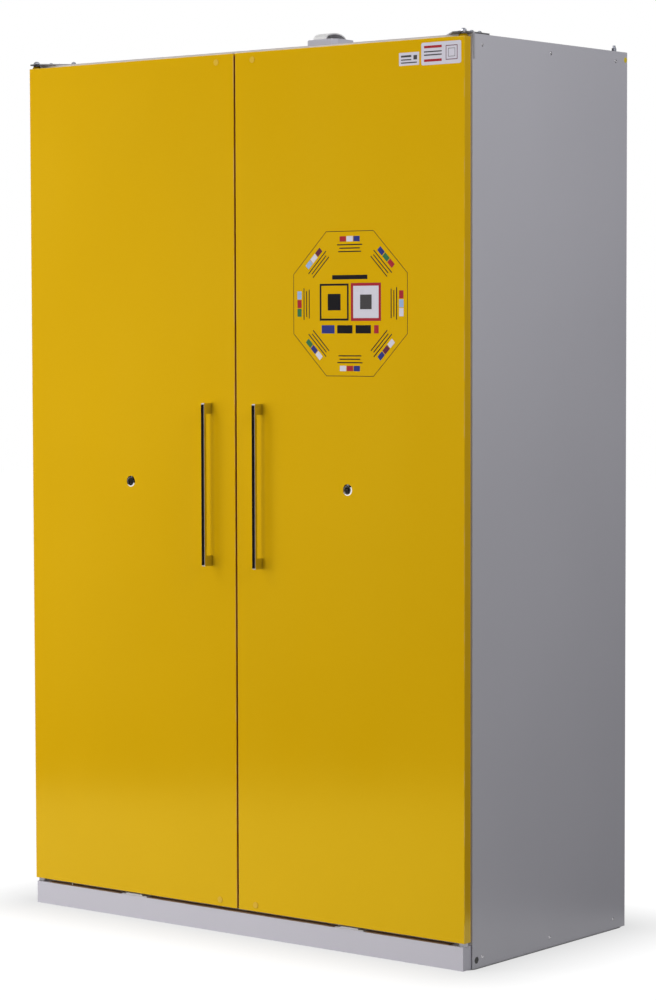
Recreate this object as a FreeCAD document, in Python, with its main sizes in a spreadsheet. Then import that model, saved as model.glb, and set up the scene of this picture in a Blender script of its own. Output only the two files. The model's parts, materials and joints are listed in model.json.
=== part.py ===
"""Two-door fire-rated storage cabinet for flammable liquids, as a parametric assembly.

Millimetres. +Z is up, +Y points to the back, +X to the right as seen from the front.
The origin is on the floor, under the middle of the box that holds the whole cabinet.
"""
import FreeCAD, Part
import Sketcher
import math
import os
import re

SIZES = {
    # whole cabinet
    "width": 1200.0,            # over the doors and side panels
    "depth": 591.0,             # doors' front face to the back panel
    "height": 1884.3,           # floor to the top panel
    "handle_reach": 27.0,       # handles stand this far out of the doors
    # walls, from the outside in
    "sheet": 1.2,               # steel shell
    "board": 40.0,              # fire board
    "lining": 3.8,              # inner panel
    # doors
    "door_lift": 7.5,           # doors' lower edge above the plinth
    "door_top_drop": 7.8,       # door top below the cabinet's top
    "door_thickness": 24.0,
    "door_gap": 4.0,            # doors' rear face to the carcass
    "meeting_gap": 3.0,         # between the two doors
    "edge_chamfer": 6.0,        # outer rear edge, so that the door clears the frame as it turns
    "plug_depth": 27.5,         # insulated plug that enters the opening
    "plug_clearance": 5.0,
    "plug_meeting": 6.0,        # plug's edge from the cabinet's middle
    "plug_wall": 1.5,
    "door_seal": 2.5,
    "door_seal_width": 10.0,
    "door_seal_back": 6.0,
    # door pivots
    "pivot_inset": 11.5,
    "pivot_setback": 12.0,
    "top_pin_radius": 5.0,
    "bottom_pin_radius": 6.0,
    "pin_engagement": 16.0,
    "running_clearance": 0.05,
    "boss_radius": 11.0,
    "boss_height": 6.0,
    "boss_depth": 20.0,
    "seat_clearance": 0.2,
    # top hinge plates
    "plate": 3.2,
    "plate_inward": 92.0,
    "plate_nose": 30.0,
    "plate_back": 86.0,
    "plate_diagonal": 60.0,
    "plate_bevel": 3.0,
    "lug_drop": 50.0,
    "lug_width": 7.0,
    "pivot_nut": 6.0,
    "pivot_thread": 2.0,
    "pivot_nut_radius": 8.0,
    "dome_radius": 5.5,
    "dome_height": 2.5,
    "plate_screw_edge": 19.0,
    "plate_screw_near": 50.0,
    "plate_screw_far": 77.0,
    "plate_screw_inward": 77.0,
    "plate_screw_inner": 62.0,
    # bottom hinges
    "foot_plate": 3.0,
    "foot_plate_reach": 29.0,
    "bottom_collar_radius": 10.0,
    # plinth and feet
    "plinth_height": 48.8,
    "plinth_inset": 3.75,
    "plinth_return": 34.0,
    "plinth_sheet": 1.5,
    "ledge_depth": 34.0,
    "foot_inset": 44.0,
    "foot_setback": 42.0,
    "foot_rear_setback": 55.0,
    "foot_radius": 20.0,
    "foot_pad": 8.0,
    "foot_stem_radius": 5.0,
    "foot_hole_radius": 7.0,
    "foot_hole_z": 16.5,
    "foot_nut_rise": 6.0,
    # locks and their rods
    "lock_x": 302.0,
    "lock_z": 965.0,
    "rim_radius": 12.0,
    "rim_proud": 1.5,
    "barrel_radius": 10.5,
    "cylinder_radius": 8.0,
    "keyway": 1.2,
    "keyway_length": 9.0,
    "keyway_depth": 4.0,
    "key_sunk": 0.4,
    "pinion_radius": 7.6,
    "rack_clearance": 0.4,
    "case_half": 20.0,
    "case_up": 30.0,
    "case_down": 50.0,
    "case_wall": 2.0,
    "rod_width": 10.0,
    "rod_thickness": 6.0,
    "rod_travel": 12.0,
    "rod_recess": 2.0,
    "rod_clearance": 0.3,
    "core_boss_room": 4.0,
    "core_rod_room": 2.0,
    "core_case_room": 1.0,
    # strikes on the plinth
    "strike_width": 74.0,
    "strike_step_width": 46.0,
    "strike_depth": 22.0,
    "strike_base": 2.0,
    "strike_height": 4.6,
    "strike_setback": 2.0,
    # handles
    "handle_x": 70.5,
    "handle_z": 965.0,
    "handle_length": 349.0,
    "bar_width": 9.0,
    "bar_thickness": 8.0,
    "bar_rounding": 0.6,
    "post_height": 23.0,
    # plugs in the doors' faces
    "cap_x": 50.0,
    "cap_from_top": 15.5,
    "cap_from_bottom": 14.0,
    "cap_radius": 6.5,
    "cap_proud": 1.2,
    # frame around the opening and its seal
    "frame_sheet": 1.2,
    "seal_thickness": 3.5,
    "seal_width": 18.0,
    "seal_inset": 2.0,
    # inside
    "upright_depth": 12.0,
    "upright_width": 28.0,
    "upright_wall": 1.5,
    "upright_front": 140.0,
    "upright_rear": 130.0,
    "upright_bottom_gap": 125.0,
    "upright_top_gap": 60.0,
    "slot_height": 18.0,
    "slot_width": 8.0,
    "slot_pitch": 50.0,
    "shelf_first": 600.0,
    "shelf_pitch": 410.0,
    "shelf_height": 30.0,
    "shelf_sheet": 1.2,
    "shelf_side_gap": 1.0,
    "shelf_front_gap": 24.0,
    "shelf_back_gap": 14.0,
    "clip_reach": 18.0,
    "clip_width": 16.0,
    "clip_tab": 3.0,
    "clip_drop": 25.0,
    "tray_height": 110.0,
    "tray_wall": 1.5,
    "grating": 1.5,
    "grating_flange": 14.0,
    "grating_gap": 1.0,
    "grating_slot": 8.0,
    "grating_rows": 27.0,
    "grating_margin": 30.0,
    "grating_slot_outer": 190.0,
    "grating_rib": 15.0,
    # exhaust on the top
    "exhaust_back": 330.0,
    "duct_radius": 36.0,
    "duct_wall": 1.5,
    "duct_hole_gap": 0.5,
    "duct_flange_radius": 50.0,
    "duct_flange": 3.0,
    "duct_rise": 8.0,
    "outlet_length": 78.0,
    "outlet_width": 74.0,
    "outlet_height": 43.5,
    "outlet_corner": 9.0,
    "outlet_wall": 3.0,
    "cowl_rise": 21.0,
    "cowl_length": 40.0,
    "cowl_setback": 20.0,
    # earth stud
    "earth_inset": 20.0,
    "earth_from_back": 21.0,
    "earth_radius": 4.0,
    "earth_height": 15.0,
    "earth_nut": 5.5,
    "earth_nut_radius": 7.0,
    "washer_radius": 8.5,
    "washer": 1.4,
    # screws on the side panels
    "screw_radius": 3.0,
    "screw_head": 1.4,
    "screw_front": 61.0,
    "screw_spacing": 242.5,
    "screw_from_top": 21.3,
    "screw_low": 21.0,
    # cutting tools run this far past the faces they cut
    "past": 1.0,
}

# Planes and edges that many pieces share, as expressions of the sizes above.
FACE = "(handle_reach - depth)/2"
BACK = "(handle_reach + depth)/2"
DOOR_REAR = f"({FACE} + door_thickness)"
FRAME = f"({DOOR_REAR} + door_gap)"
DOOR_LOW = "(plinth_height + door_lift)"
DOOR_TOP = "(height - door_top_drop)"
WALL = "(sheet + board + lining)"
INSIDE_X = f"(width/2 - {WALL})"
INSIDE_BACK = f"({BACK} - {WALL})"
FLOOR = f"(plinth_height + {WALL})"
CEILING = f"(height - {WALL})"
PLUG_X = f"({INSIDE_X} - plug_clearance)"
PLUG_LOW = f"({FLOOR} + plug_clearance)"
PLUG_HIGH = f"({CEILING} - plug_clearance)"
PLUG_REAR = f"({DOOR_REAR} + plug_depth)"
PIVOT_X = "(width/2 - pivot_inset)"
PIVOT_Y = f"({FACE} + pivot_setback)"
UPRIGHT_X = f"({INSIDE_X} - upright_depth)"
SHELF_X = f"({UPRIGHT_X} - shelf_side_gap)"
SHELF_FRONT = f"({PLUG_REAR} + shelf_front_gap)"
SHELF_BACK = f"({INSIDE_BACK} - shelf_back_gap)"
EXHAUST_Y = f"({FACE} + exhaust_back)"
OUTLET_TOP = "(height + outlet_height)"
UPRIGHTS = (("front", f"({PLUG_REAR} + upright_front)"), ("rear", f"({INSIDE_BACK} - upright_rear)"))

ALONG = {
    "X": FreeCAD.Rotation(FreeCAD.Vector(0, 1, 0), 90),
    "Y": FreeCAD.Rotation(FreeCAD.Vector(1, 0, 0), -90),
    "Z": FreeCAD.Rotation(),
}

doc = FreeCAD.newDocument("cabinet")
nodes = []


# ---------------------------------------------------------------- sizes and small helpers

def make_sheet():
    """Every driving size in one spreadsheet, one alias each."""
    sheet = doc.addObject("Spreadsheet::Sheet", "Sizes")
    for row, (name, value) in enumerate(SIZES.items(), start=1):
        sheet.set(f"A{row}", name)
        sheet.set(f"B{row}", str(value))
        sheet.setAlias(f"B{row}", name)
    doc.recompute()


def bind(item, prop, text):
    """Ties one property to an expression of the named sizes."""
    linked = re.sub(r"[a-z_]+", lambda m: f"Sizes.{m[0]}" if m[0] in SIZES else m[0], str(text))
    item.setExpression(prop, linked)


def place(item, x, y, z):
    for axis, text in zip("xyz", (x, y, z)):
        bind(item, f"Placement.Base.{axis}", text)


def block(name, x, y, z):
    """A box between two expressions on each axis."""
    box = doc.addObject("Part::Box", name)
    for prop, (low, high) in zip(("Length", "Width", "Height"), (x, y, z)):
        bind(box, prop, f"({high}) - ({low})")
    place(box, x[0], y[0], z[0])
    return box


def bar(name, radius, along, x, y, z, length):
    """A round bar that starts at a point and runs along one axis."""
    cylinder = doc.addObject("Part::Cylinder", name)
    cylinder.Placement = FreeCAD.Placement(FreeCAD.Vector(), ALONG[along])
    bind(cylinder, "Radius", radius)
    bind(cylinder, "Height", length)
    place(cylinder, x, y, z)
    return cylinder


def hexagon(name, radius, x, y, z, thickness):
    """A hexagonal nut, its corners at the given radius."""
    prism = doc.addObject("Part::Prism", name)
    prism.Polygon = 6
    bind(prism, "Circumradius", radius)
    bind(prism, "Height", thickness)
    place(prism, x, y, z)
    return prism


def dome(name, radius, rise, along, x, y, z, turned=False):
    """A low domed screw head: the cap of a ball that the panel's plane cuts."""
    ball_radius = f"({radius}*{radius} + {rise}*{rise})/(2*{rise})"
    ball = doc.addObject("Part::Sphere", f"{name}_ball")
    bind(ball, "Radius", ball_radius)
    sunk = f"({ball_radius} - {rise})"
    if along == "X":
        place(ball, f"{x} {'+' if turned else '-'} {sunk}", y, z)
        start = f"({x}) - {rise}" if turned else x
        body = bar(f"{name}_round", radius, "X", start, y, z, rise)
    else:
        place(ball, x, y, f"{z} - {sunk}")
        body = bar(f"{name}_round", radius, "Z", x, y, z, rise)
    return common(name, ball, body)


def fuse(name, *items):
    joined = doc.addObject("Part::MultiFuse", name)
    joined.Shapes = list(items)
    joined.Refine = True
    return joined


def common(name, first, second):
    shared = doc.addObject("Part::Common", name)
    shared.Base = first
    shared.Tool = second
    return shared


def cut(name, base, *tools):
    """The base with every tool taken away."""
    result = doc.addObject("Part::Cut", name)
    result.Base = base
    result.Tool = tools[0] if len(tools) == 1 else fuse(f"{name}_tools", *tools)
    return result


def group(name, *items):
    """Separate solids that share one node."""
    holder = doc.addObject("Part::Compound", name)
    holder.Links = list(items)
    return holder


def mirror(name, source):
    """The same piece on the cabinet's other side."""
    copy = doc.addObject("Part::Mirroring", name)
    copy.Source = source
    copy.Base = FreeCAD.Vector(0, 0, 0)
    copy.Normal = FreeCAD.Vector(1, 0, 0)
    return copy


def node(item, label=None):
    """Marks an object as a finished sub-part; its label names its file."""
    item.Label = label or item.Name
    nodes.append(item)
    return item


def pair(item, stem):
    """A right-hand piece and its mirrored left-hand twin."""
    node(item, f"{stem}_right")
    node(mirror(f"{stem}_left", item), f"{stem}_left")


def new_body(name):
    return doc.addObject("PartDesign::Body", name)


def sketch(body, name, role, outlines=(), circles=(), lift="0"):
    """A sketch on one of the body's own planes, every corner held by two dimensions."""
    drawn = body.newObject("Sketcher::SketchObject", name)
    plane = [item for item in body.Origin.OriginFeatures if item.Role == role][0]
    drawn.AttachmentSupport = [(plane, "")]
    drawn.MapMode = "FlatFace"
    bind(drawn, "AttachmentOffset.Base.z", lift)
    for corners in outlines:
        first = drawn.GeometryCount
        turn = 2 * math.pi / len(corners)
        rough = [FreeCAD.Vector(math.cos(i * turn), math.sin(i * turn), 0) for i in range(len(corners))]
        for i in range(len(corners)):
            drawn.addGeometry(Part.LineSegment(rough[i], rough[(i + 1) % len(corners)]), False)
        for i in range(len(corners)):
            after = first + (i + 1) % len(corners)
            drawn.addConstraint(Sketcher.Constraint("Coincident", first + i, 2, after, 1))
        for i, (across, up) in enumerate(corners):
            hold_point(drawn, first + i, 1, rough[i], across, up)
    for across, up, radius in circles:
        index = drawn.GeometryCount
        drawn.addGeometry(Part.Circle(FreeCAD.Vector(1, 1, 0), FreeCAD.Vector(0, 0, 1), 5), False)
        size = drawn.addConstraint(Sketcher.Constraint("Radius", index, 5))
        bind(drawn, f"Constraints[{size}]", radius)
        hold_point(drawn, index, 3, FreeCAD.Vector(1, 1, 0), across, up)
    return drawn


def hold_point(drawn, index, end, rough, across, up):
    """Two signed distances from the sketch's origin to one point."""
    for kind, text, value in (("DistanceX", across, rough.x), ("DistanceY", up, rough.y)):
        held = drawn.addConstraint(Sketcher.Constraint(kind, -1, 1, index, end, value))
        bind(drawn, f"Constraints[{held}]", text)


def rectangle(x, y):
    return [(x[0], y[0]), (x[1], y[0]), (x[1], y[1]), (x[0], y[1])]


def pad(body, profile, length, backwards=False):
    feature = body.newObject("PartDesign::Pad", f"{body.Name}_pad")
    feature.Profile = profile
    feature.Reversed = backwards
    bind(feature, "Length", length)
    profile.Visibility = False
    doc.recompute()
    return feature


def pocket(body, name, profile, length, backwards=False):
    """Takes material away, and makes sure that it did."""
    before = body.Shape.Volume
    feature = body.newObject("PartDesign::Pocket", name)
    feature.Profile = profile
    feature.Reversed = backwards
    bind(feature, "Length", length)
    doc.recompute()
    if body.Shape.Volume >= before:
        raise RuntimeError(f"{name} cuts nothing")
    return feature


# ---------------------------------------------------------------- carcass

def carcass_shell():
    """The painted steel outside: two sides, top, back and bottom."""
    inner = "(width/2 - sheet)"
    panel = block("side_sheet", (inner, "width/2"), (FRAME, BACK), ("0", "height"))
    access = bar("side_access", "foot_hole_radius", "X", f"{inner} - past",
                 f"{FACE} + foot_setback", "foot_hole_z", "sheet + 2*past")
    pair(cut("side_panel", panel, access), "side_panel")

    top = block("top_sheet", (f"-{inner}", inner), (FRAME, f"{BACK} - sheet"), ("height - sheet", "height"))
    node(cut("top_panel", top, duct_hole("top_hole")))
    node(block("back_panel", (f"-{inner}", inner), (f"{BACK} - sheet", BACK), ("plinth_height", "height")))
    node(block("bottom_panel", (f"-{inner}", inner), (FRAME, f"{BACK} - sheet"),
               ("plinth_height", "plinth_height + sheet")))


def duct_hole(name):
    """The round way for the exhaust duct through the three layers of the top wall."""
    return bar(name, "duct_radius + duct_wall + duct_hole_gap", "Z", "0", EXHAUST_Y,
               f"{CEILING} - past", f"{WALL} + 2*past")


def carcass_boards():
    """Fire board behind the shell, then the inner lining, five panels of each."""
    skin_x = "(width/2 - sheet)"
    board_x = "(width/2 - sheet - board)"
    low, high = "(plinth_height + sheet)", "(height - sheet)"
    front = f"({FRAME} + frame_sheet)"
    board_back = f"({BACK} - sheet - board)"
    pair(block("insulation_side", (board_x, skin_x), (front, f"{BACK} - sheet"), (low, high)), "insulation")
    across = (f"-{board_x}", board_x)
    node(block("insulation_bottom", across, (front, board_back), (low, f"{low} + board")))
    roof = block("roof_board", across, (front, board_back), (f"{high} - board", high))
    node(cut("insulation_top", roof, duct_hole("board_hole")))
    node(block("insulation_back", across, (board_back, f"{BACK} - sheet"), (low, high)))

    inside = (f"-{INSIDE_X}", INSIDE_X)
    pair(block("liner_side", (INSIDE_X, board_x), (front, board_back),
               (f"{low} + board", f"{high} - board")), "liner")
    node(block("liner_bottom", inside, (front, board_back), (f"{low} + board", FLOOR)))
    ceiling = block("ceiling_sheet", inside, (front, board_back), (CEILING, f"{high} - board"))
    node(cut("liner_top", ceiling, duct_hole("ceiling_hole")))
    node(block("liner_back", inside, (INSIDE_BACK, board_back), (FLOOR, CEILING)))


def ring_strips(name, outer_x, inner_x, y, outer_z, inner_z):
    """Four strips round an opening: two uprights and the two between them."""
    low, high = outer_z
    strips = []
    for side, reach in (("left", (f"-({outer_x})", f"-({inner_x})")), ("right", (inner_x, outer_x))):
        strips.append(block(f"{name}_{side}", reach, y, (low, high)))
    across = (f"-({inner_x})", inner_x)
    strips.append(block(f"{name}_bottom", across, y, (low, inner_z[0])))
    strips.append(block(f"{name}_top", across, y, (inner_z[1], high)))
    return group(name, *strips)


def opening_frame():
    """The steel face over the boards' front edges, and the fire seal that swells in the door gap."""
    node(ring_strips("front_frame", "width/2 - sheet", INSIDE_X, (FRAME, f"{FRAME} + frame_sheet"),
                     ("plinth_height + sheet", "height - sheet"), (FLOOR, CEILING)))
    near = f"({INSIDE_X} + seal_inset)"
    node(ring_strips("frame_seal", f"{near} + seal_width", near, (f"{FRAME} - seal_thickness", FRAME),
                     (f"{FLOOR} - seal_inset - seal_width", f"{CEILING} + seal_inset + seal_width"),
                     (f"{FLOOR} - seal_inset", f"{CEILING} + seal_inset")))


def plinth():
    """Folded steel skirt under the doors: front, ledge and two short returns."""
    outer = "(width/2 - plinth_inset)"
    inner = f"({outer} - plinth_sheet)"
    ledge_z = ("plinth_height - plinth_sheet", "plinth_height")
    across = (f"-{outer}", outer)
    front = block("plinth_front", across, (FACE, f"{FACE} + plinth_sheet"), ("0", "plinth_height"))
    ledge = block("plinth_ledge", across, (FACE, f"{FACE} + ledge_depth"), ledge_z)
    ends = [block(f"plinth_end_{i}", reach, (FACE, f"{FACE} + plinth_return"), ("0", "plinth_height"))
            for i, reach in enumerate(((inner, outer), (f"-{outer}", f"-{inner}")))]
    holes = []
    for i, sign in enumerate(("", "-")):
        holes.append(bar(f"ledge_pin_hole_{i}", "bottom_pin_radius + rod_clearance", "Z",
                         f"{sign}{PIVOT_X}", PIVOT_Y, "plinth_height - plinth_sheet - past",
                         "plinth_sheet + 2*past"))
        holes.append(rod_way(f"ledge_rod_way_{i}", f"{sign}lock_x", ledge_z))
    node(cut("plinth", fuse("plinth_fold", front, ledge, *ends), *holes))


def rod_way(name, x, z):
    """A rectangular hole that the locking rod drops through."""
    half_x = "(rod_width/2 + 2*rod_clearance)"
    half_y = "(rod_thickness/2 + 2*rod_clearance)"
    return block(name, (f"{x} - {half_x}", f"{x} + {half_x}"),
                 (f"{PIVOT_Y} - {half_y}", f"{PIVOT_Y} + {half_y}"),
                 (f"{z[0]} - past", f"{z[1]} + past"))


def strikes():
    """Stepped keepers on the ledge, one under each lock, which take the locking rods."""
    y = (f"{FACE} + strike_setback", f"{FACE} + strike_setback + strike_depth")
    kept = []
    for i, sign in enumerate(("", "-")):
        x = f"{sign}lock_x"
        low = block(f"strike_low_{i}", (f"{x} - strike_width/2", f"{x} + strike_width/2"), y,
                    ("plinth_height", "plinth_height + strike_base"))
        high = block(f"strike_high_{i}", (f"{x} - strike_step_width/2", f"{x} + strike_step_width/2"), y,
                     ("plinth_height", "plinth_height + strike_height"))
        way = rod_way(f"strike_way_{i}", x, ("plinth_height", "plinth_height + strike_height"))
        kept.append(cut(f"strike_{i}", fuse(f"strike_block_{i}", low, high), way))
    node(group("strike_plates", *kept))


def feet():
    """Four levelling feet between the floor and the bottom panel."""
    made = []
    front, rear = f"{FACE} + foot_setback", f"{BACK} - foot_rear_setback"
    for i, (sign, y) in enumerate((s, y) for s in ("", "-") for y in (front, rear)):
        x = f"{sign}(width/2 - foot_inset)"
        base = bar(f"foot_base_{i}", "foot_radius", "Z", x, y, "0", "foot_pad")
        stem = bar(f"foot_stem_{i}", "foot_stem_radius", "Z", x, y, "0", "plinth_height")
        nut = hexagon(f"foot_nut_{i}", "2*foot_stem_radius", x, y, "foot_pad + foot_nut_rise", "foot_pad")
        made.append(fuse(f"foot_{i}", base, stem, nut))
    node(group("levelling_feet", *made))


def side_screws():
    """Domed screws in two rows on each side panel."""
    heads = []
    for side, turned, x in (("right", False, "width/2"), ("left", True, "-width/2")):
        for column in range(3):
            y = f"{FACE} + screw_front + {column}*screw_spacing"
            for row, z in (("top", "height - screw_from_top"), ("low", "screw_low")):
                heads.append(dome(f"screw_{side}_{row}_{column}", "screw_radius", "screw_head",
                                  "X", x, y, z, turned))
    node(group("panel_screws", *heads))


# ---------------------------------------------------------------- hinges

def top_hinges():
    """Zinc plates on the top's front corners, each with a lug that hangs down the side panel."""
    body = new_body("hinge_plate")
    edge, inward = "width/2", "(width/2 - plate_inward)"
    corners = [(edge, f"{FACE} + plate_bevel"), (f"{edge} - plate_bevel", FACE),
               (f"{edge} - plate_nose", FACE),
               (inward, f"{FACE} + plate_diagonal"), (inward, f"{FACE} + plate_back"),
               (edge, f"{FACE} + plate_back")]
    outline = sketch(body, "plate_outline", "XY_Plane", [corners], lift="height")
    pad(body, outline, "plate")
    hole = sketch(body, "plate_hole", "XY_Plane",
                  circles=[(PIVOT_X, PIVOT_Y, "top_pin_radius + rod_clearance")], lift="height")
    pocket(body, "plate_bore", hole, "plate", backwards=True)
    lug = block("hinge_lug", ("width/2", "width/2 + sheet"), (FRAME, f"{FRAME} + lug_width"),
                ("height - lug_drop", "height + plate"))
    pair(fuse("hinge_plate_lugged", body, lug), "hinge_plate")


def hinge_fasteners():
    """Pivot bolts with their nuts and washers, and the domed screws that hold the plates."""
    made = []
    for i, sign in enumerate(("", "-")):
        x = f"{sign}{PIVOT_X}"
        top = "height + plate"
        pin = bar(f"pivot_pin_{i}", "top_pin_radius", "Z", x, PIVOT_Y, f"{DOOR_TOP} - pin_engagement",
                  "door_top_drop + pin_engagement + plate + pivot_nut + pivot_thread")
        nut = hexagon(f"pivot_nut_{i}", "pivot_nut_radius", x, PIVOT_Y, top, "pivot_nut")
        under = bar(f"pivot_washer_{i}", "pivot_nut_radius", "Z", x, PIVOT_Y,
                    f"{DOOR_TOP} + boss_height + seat_clearance",
                    "door_top_drop - boss_height - seat_clearance")
        made.append(fuse(f"pivot_bolt_{i}", pin, nut, under))
        places = (("width/2 - plate_screw_edge", f"{FACE} + plate_screw_near"),
                  ("width/2 - plate_screw_edge", f"{FACE} + plate_screw_far"),
                  ("width/2 - plate_screw_inward", f"{FACE} + plate_screw_inner"))
        for j, (screw_x, screw_y) in enumerate(places):
            made.append(dome(f"hinge_screw_{i}_{j}", "dome_radius", "dome_height", "Z",
                             f"{sign}({screw_x})", screw_y, top))
    node(group("hinge_fasteners", *made))


def bottom_hinges():
    """A plate under the ledge with the pin that carries the door, and the collar it turns on."""
    plate = block("foot_plate_block", ("width/2 - plinth_inset - foot_plate_reach",
                                       "width/2 - plinth_inset - plinth_sheet"),
                  (f"{FACE} + plinth_sheet", f"{FACE} + foot_plate_reach"),
                  ("plinth_height - plinth_sheet - foot_plate", "plinth_height - plinth_sheet"))
    pin = bar("bottom_pin", "bottom_pin_radius", "Z", PIVOT_X, PIVOT_Y,
              "plinth_height - plinth_sheet - foot_plate",
              "door_lift + pin_engagement + plinth_sheet + foot_plate")
    collar = bar("bottom_collar", "bottom_collar_radius", "Z", PIVOT_X, PIVOT_Y, "plinth_height",
                 "door_lift - seat_clearance")
    pair(fuse("bottom_hinge", plate, pin, collar), "bottom_hinge")


# ---------------------------------------------------------------- doors (right-hand, then mirrored)

def pivot_bore(name, radius, z, length):
    return bar(name, f"{radius} + running_clearance", "Z", PIVOT_X, PIVOT_Y, z, length)


def around_rod(gap):
    """The x and y ranges of the locking rod with a gap on each side."""
    return ((f"lock_x - rod_width/2 - {gap}", f"lock_x + rod_width/2 + {gap}"),
            (f"{PIVOT_Y} - rod_thickness/2 - {gap}", f"{PIVOT_Y} + rod_thickness/2 + {gap}"))


def door_skin():
    """Folded steel tray with a rear flange round the plug, and a boss at each pivot."""
    near, far = "(meeting_gap/2)", "(width/2)"
    outer = block("door_outer", (near, far), (FACE, DOOR_REAR), (DOOR_LOW, DOOR_TOP))
    inner = block("door_inner", (f"{near} + sheet", f"{far} - sheet - edge_chamfer"),
                  (f"{FACE} + sheet", f"{DOOR_REAR} - sheet"),
                  (f"{DOOR_LOW} + sheet", f"{DOOR_TOP} - sheet"))
    opening = block("door_rear_opening", ("plug_meeting", PLUG_X),
                    (f"{DOOR_REAR} - 2*sheet", f"{DOOR_REAR} + past"), (PLUG_LOW, PLUG_HIGH))
    boss_top = bar("boss_top", "boss_radius", "Z", PIVOT_X, PIVOT_Y, f"{DOOR_TOP} - boss_depth",
                   "boss_depth + boss_height")
    boss_low = bar("boss_low", "boss_radius", "Z", PIVOT_X, PIVOT_Y, DOOR_LOW, "boss_depth")
    edge = new_body("door_edge")
    triangle = [(far, f"{DOOR_REAR} - edge_chamfer"), (f"{far} + past", f"{DOOR_REAR} - edge_chamfer"),
                (f"{far} + past", f"{DOOR_REAR} + past"), (f"{far} - edge_chamfer", f"{DOOR_REAR} + past"),
                (f"{far} - edge_chamfer", DOOR_REAR)]
    pad(edge, sketch(edge, "edge_outline", "XY_Plane", [triangle], lift=f"{DOOR_LOW} - past"),
        f"{DOOR_TOP} - {DOOR_LOW} + 2*past")
    shell = fuse("door_shell", cut("door_tray", outer, inner), boss_top, boss_low)
    ways = [pivot_bore("bore_top", "top_pin_radius", f"{DOOR_TOP} - boss_depth - past",
                       "boss_depth + boss_height + 2*past"),
            pivot_bore("bore_low", "bottom_pin_radius", f"{DOOR_LOW} - past", "boss_depth + 2*past"),
            bar("lock_hole", "barrel_radius + rod_clearance", "Y", "lock_x", f"{FACE} - past", "lock_z",
                "sheet + 2*past"),
            block("skin_rod_hole", *around_rod("rod_clearance"),
                  (f"{DOOR_LOW} - past", f"{DOOR_LOW} + sheet + past"))]
    pair(cut("door_skin", shell, opening, edge, *ways), "door_skin")


def door_core():
    """Fire board that fills the tray and the plug, with room for the pivots, the lock and its rod."""
    tray = block("core_tray", ("meeting_gap/2 + sheet", "width/2 - sheet - edge_chamfer"),
                 (f"{FACE} + sheet", f"{DOOR_REAR} - sheet"),
                 (f"{DOOR_LOW} + sheet", f"{DOOR_TOP} - sheet"))
    plug = block("core_plug", ("plug_meeting + plug_wall", f"{PLUG_X} - plug_wall"),
                 (f"{DOOR_REAR} - sheet", f"{PLUG_REAR} - plug_wall"),
                 (f"{PLUG_LOW} + plug_wall", f"{PLUG_HIGH} - plug_wall"))
    room = "(boss_radius + rod_clearance)"
    room_depth = "boss_depth + core_boss_room"
    ways = [bar("core_boss_top", room, "Z", PIVOT_X, PIVOT_Y, f"{DOOR_TOP} - ({room_depth})", room_depth),
            bar("core_boss_low", room, "Z", PIVOT_X, PIVOT_Y, DOOR_LOW, room_depth),
            block("core_lock", ("lock_x - case_half - rod_clearance", "lock_x + case_half + rod_clearance"),
                  (FACE, f"{PIVOT_Y} + rod_thickness/2 + case_wall + core_case_room"),
                  ("lock_z - case_down - rod_clearance", "lock_z + case_up + rod_clearance")),
            block("core_rod", *around_rod("core_rod_room"), (DOOR_LOW, "lock_z - case_down"))]
    pair(cut("door_core", fuse("core_block", tray, plug), *ways), "door_core")


def door_liner():
    """Inner tray that closes the plug, and the smoke seal round it."""
    plug = block("liner_outer", ("plug_meeting", PLUG_X), (f"{DOOR_REAR} - sheet", PLUG_REAR),
                 (PLUG_LOW, PLUG_HIGH))
    hollow = block("liner_hollow", ("plug_meeting + plug_wall", f"{PLUG_X} - plug_wall"),
                   (f"{DOOR_REAR} - sheet - past", f"{PLUG_REAR} - plug_wall"),
                   (f"{PLUG_LOW} + plug_wall", f"{PLUG_HIGH} - plug_wall"))
    pair(cut("door_liner", plug, hollow), "door_liner")
    y = (f"{DOOR_REAR} + door_seal_back", f"{DOOR_REAR} + door_seal_back + door_seal_width")
    around = block("seal_outer", ("plug_meeting - door_seal", f"{PLUG_X} + door_seal"), y,
                   (f"{PLUG_LOW} - door_seal", f"{PLUG_HIGH} + door_seal"))
    through = block("seal_inner", ("plug_meeting", PLUG_X), (f"{y[0]} - past", f"{y[1]} + past"),
                    (PLUG_LOW, PLUG_HIGH))
    pair(cut("door_seal", around, through), "door_seal")


def door_caps():
    """Round plugs near the meeting edge, one high and one low on each door."""
    caps = []
    for spot, z in (("high", f"{DOOR_TOP} - cap_from_top"), ("low", f"{DOOR_LOW} + cap_from_bottom")):
        caps.append(bar(f"cap_{spot}", "cap_radius", "Y", "cap_x", f"{FACE} - cap_proud", z, "cap_proud"))
    pair(group("door_caps", *caps), "door_caps")


def handle():
    """Square bar on two posts; three pieces, softly rounded along every edge."""
    half_x, half_z = "bar_width/2", "handle_length/2"
    x = (f"handle_x - {half_x}", f"handle_x + {half_x}")
    front = f"({FACE} - handle_reach)"
    pieces = [rounded_bar("handle_bar", x, (front, f"{front} + bar_thickness"),
                          (f"handle_z - {half_z}", f"handle_z + {half_z}"))]
    for spot, low in (("low", f"handle_z - {half_z}"), ("high", f"handle_z + {half_z} - post_height")):
        pieces.append(rounded_bar(f"handle_post_{spot}", x, (f"{front} + bar_thickness", FACE),
                                  (low, f"{low} + post_height")))
    pair(group("handle", *pieces), "handle")


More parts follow.
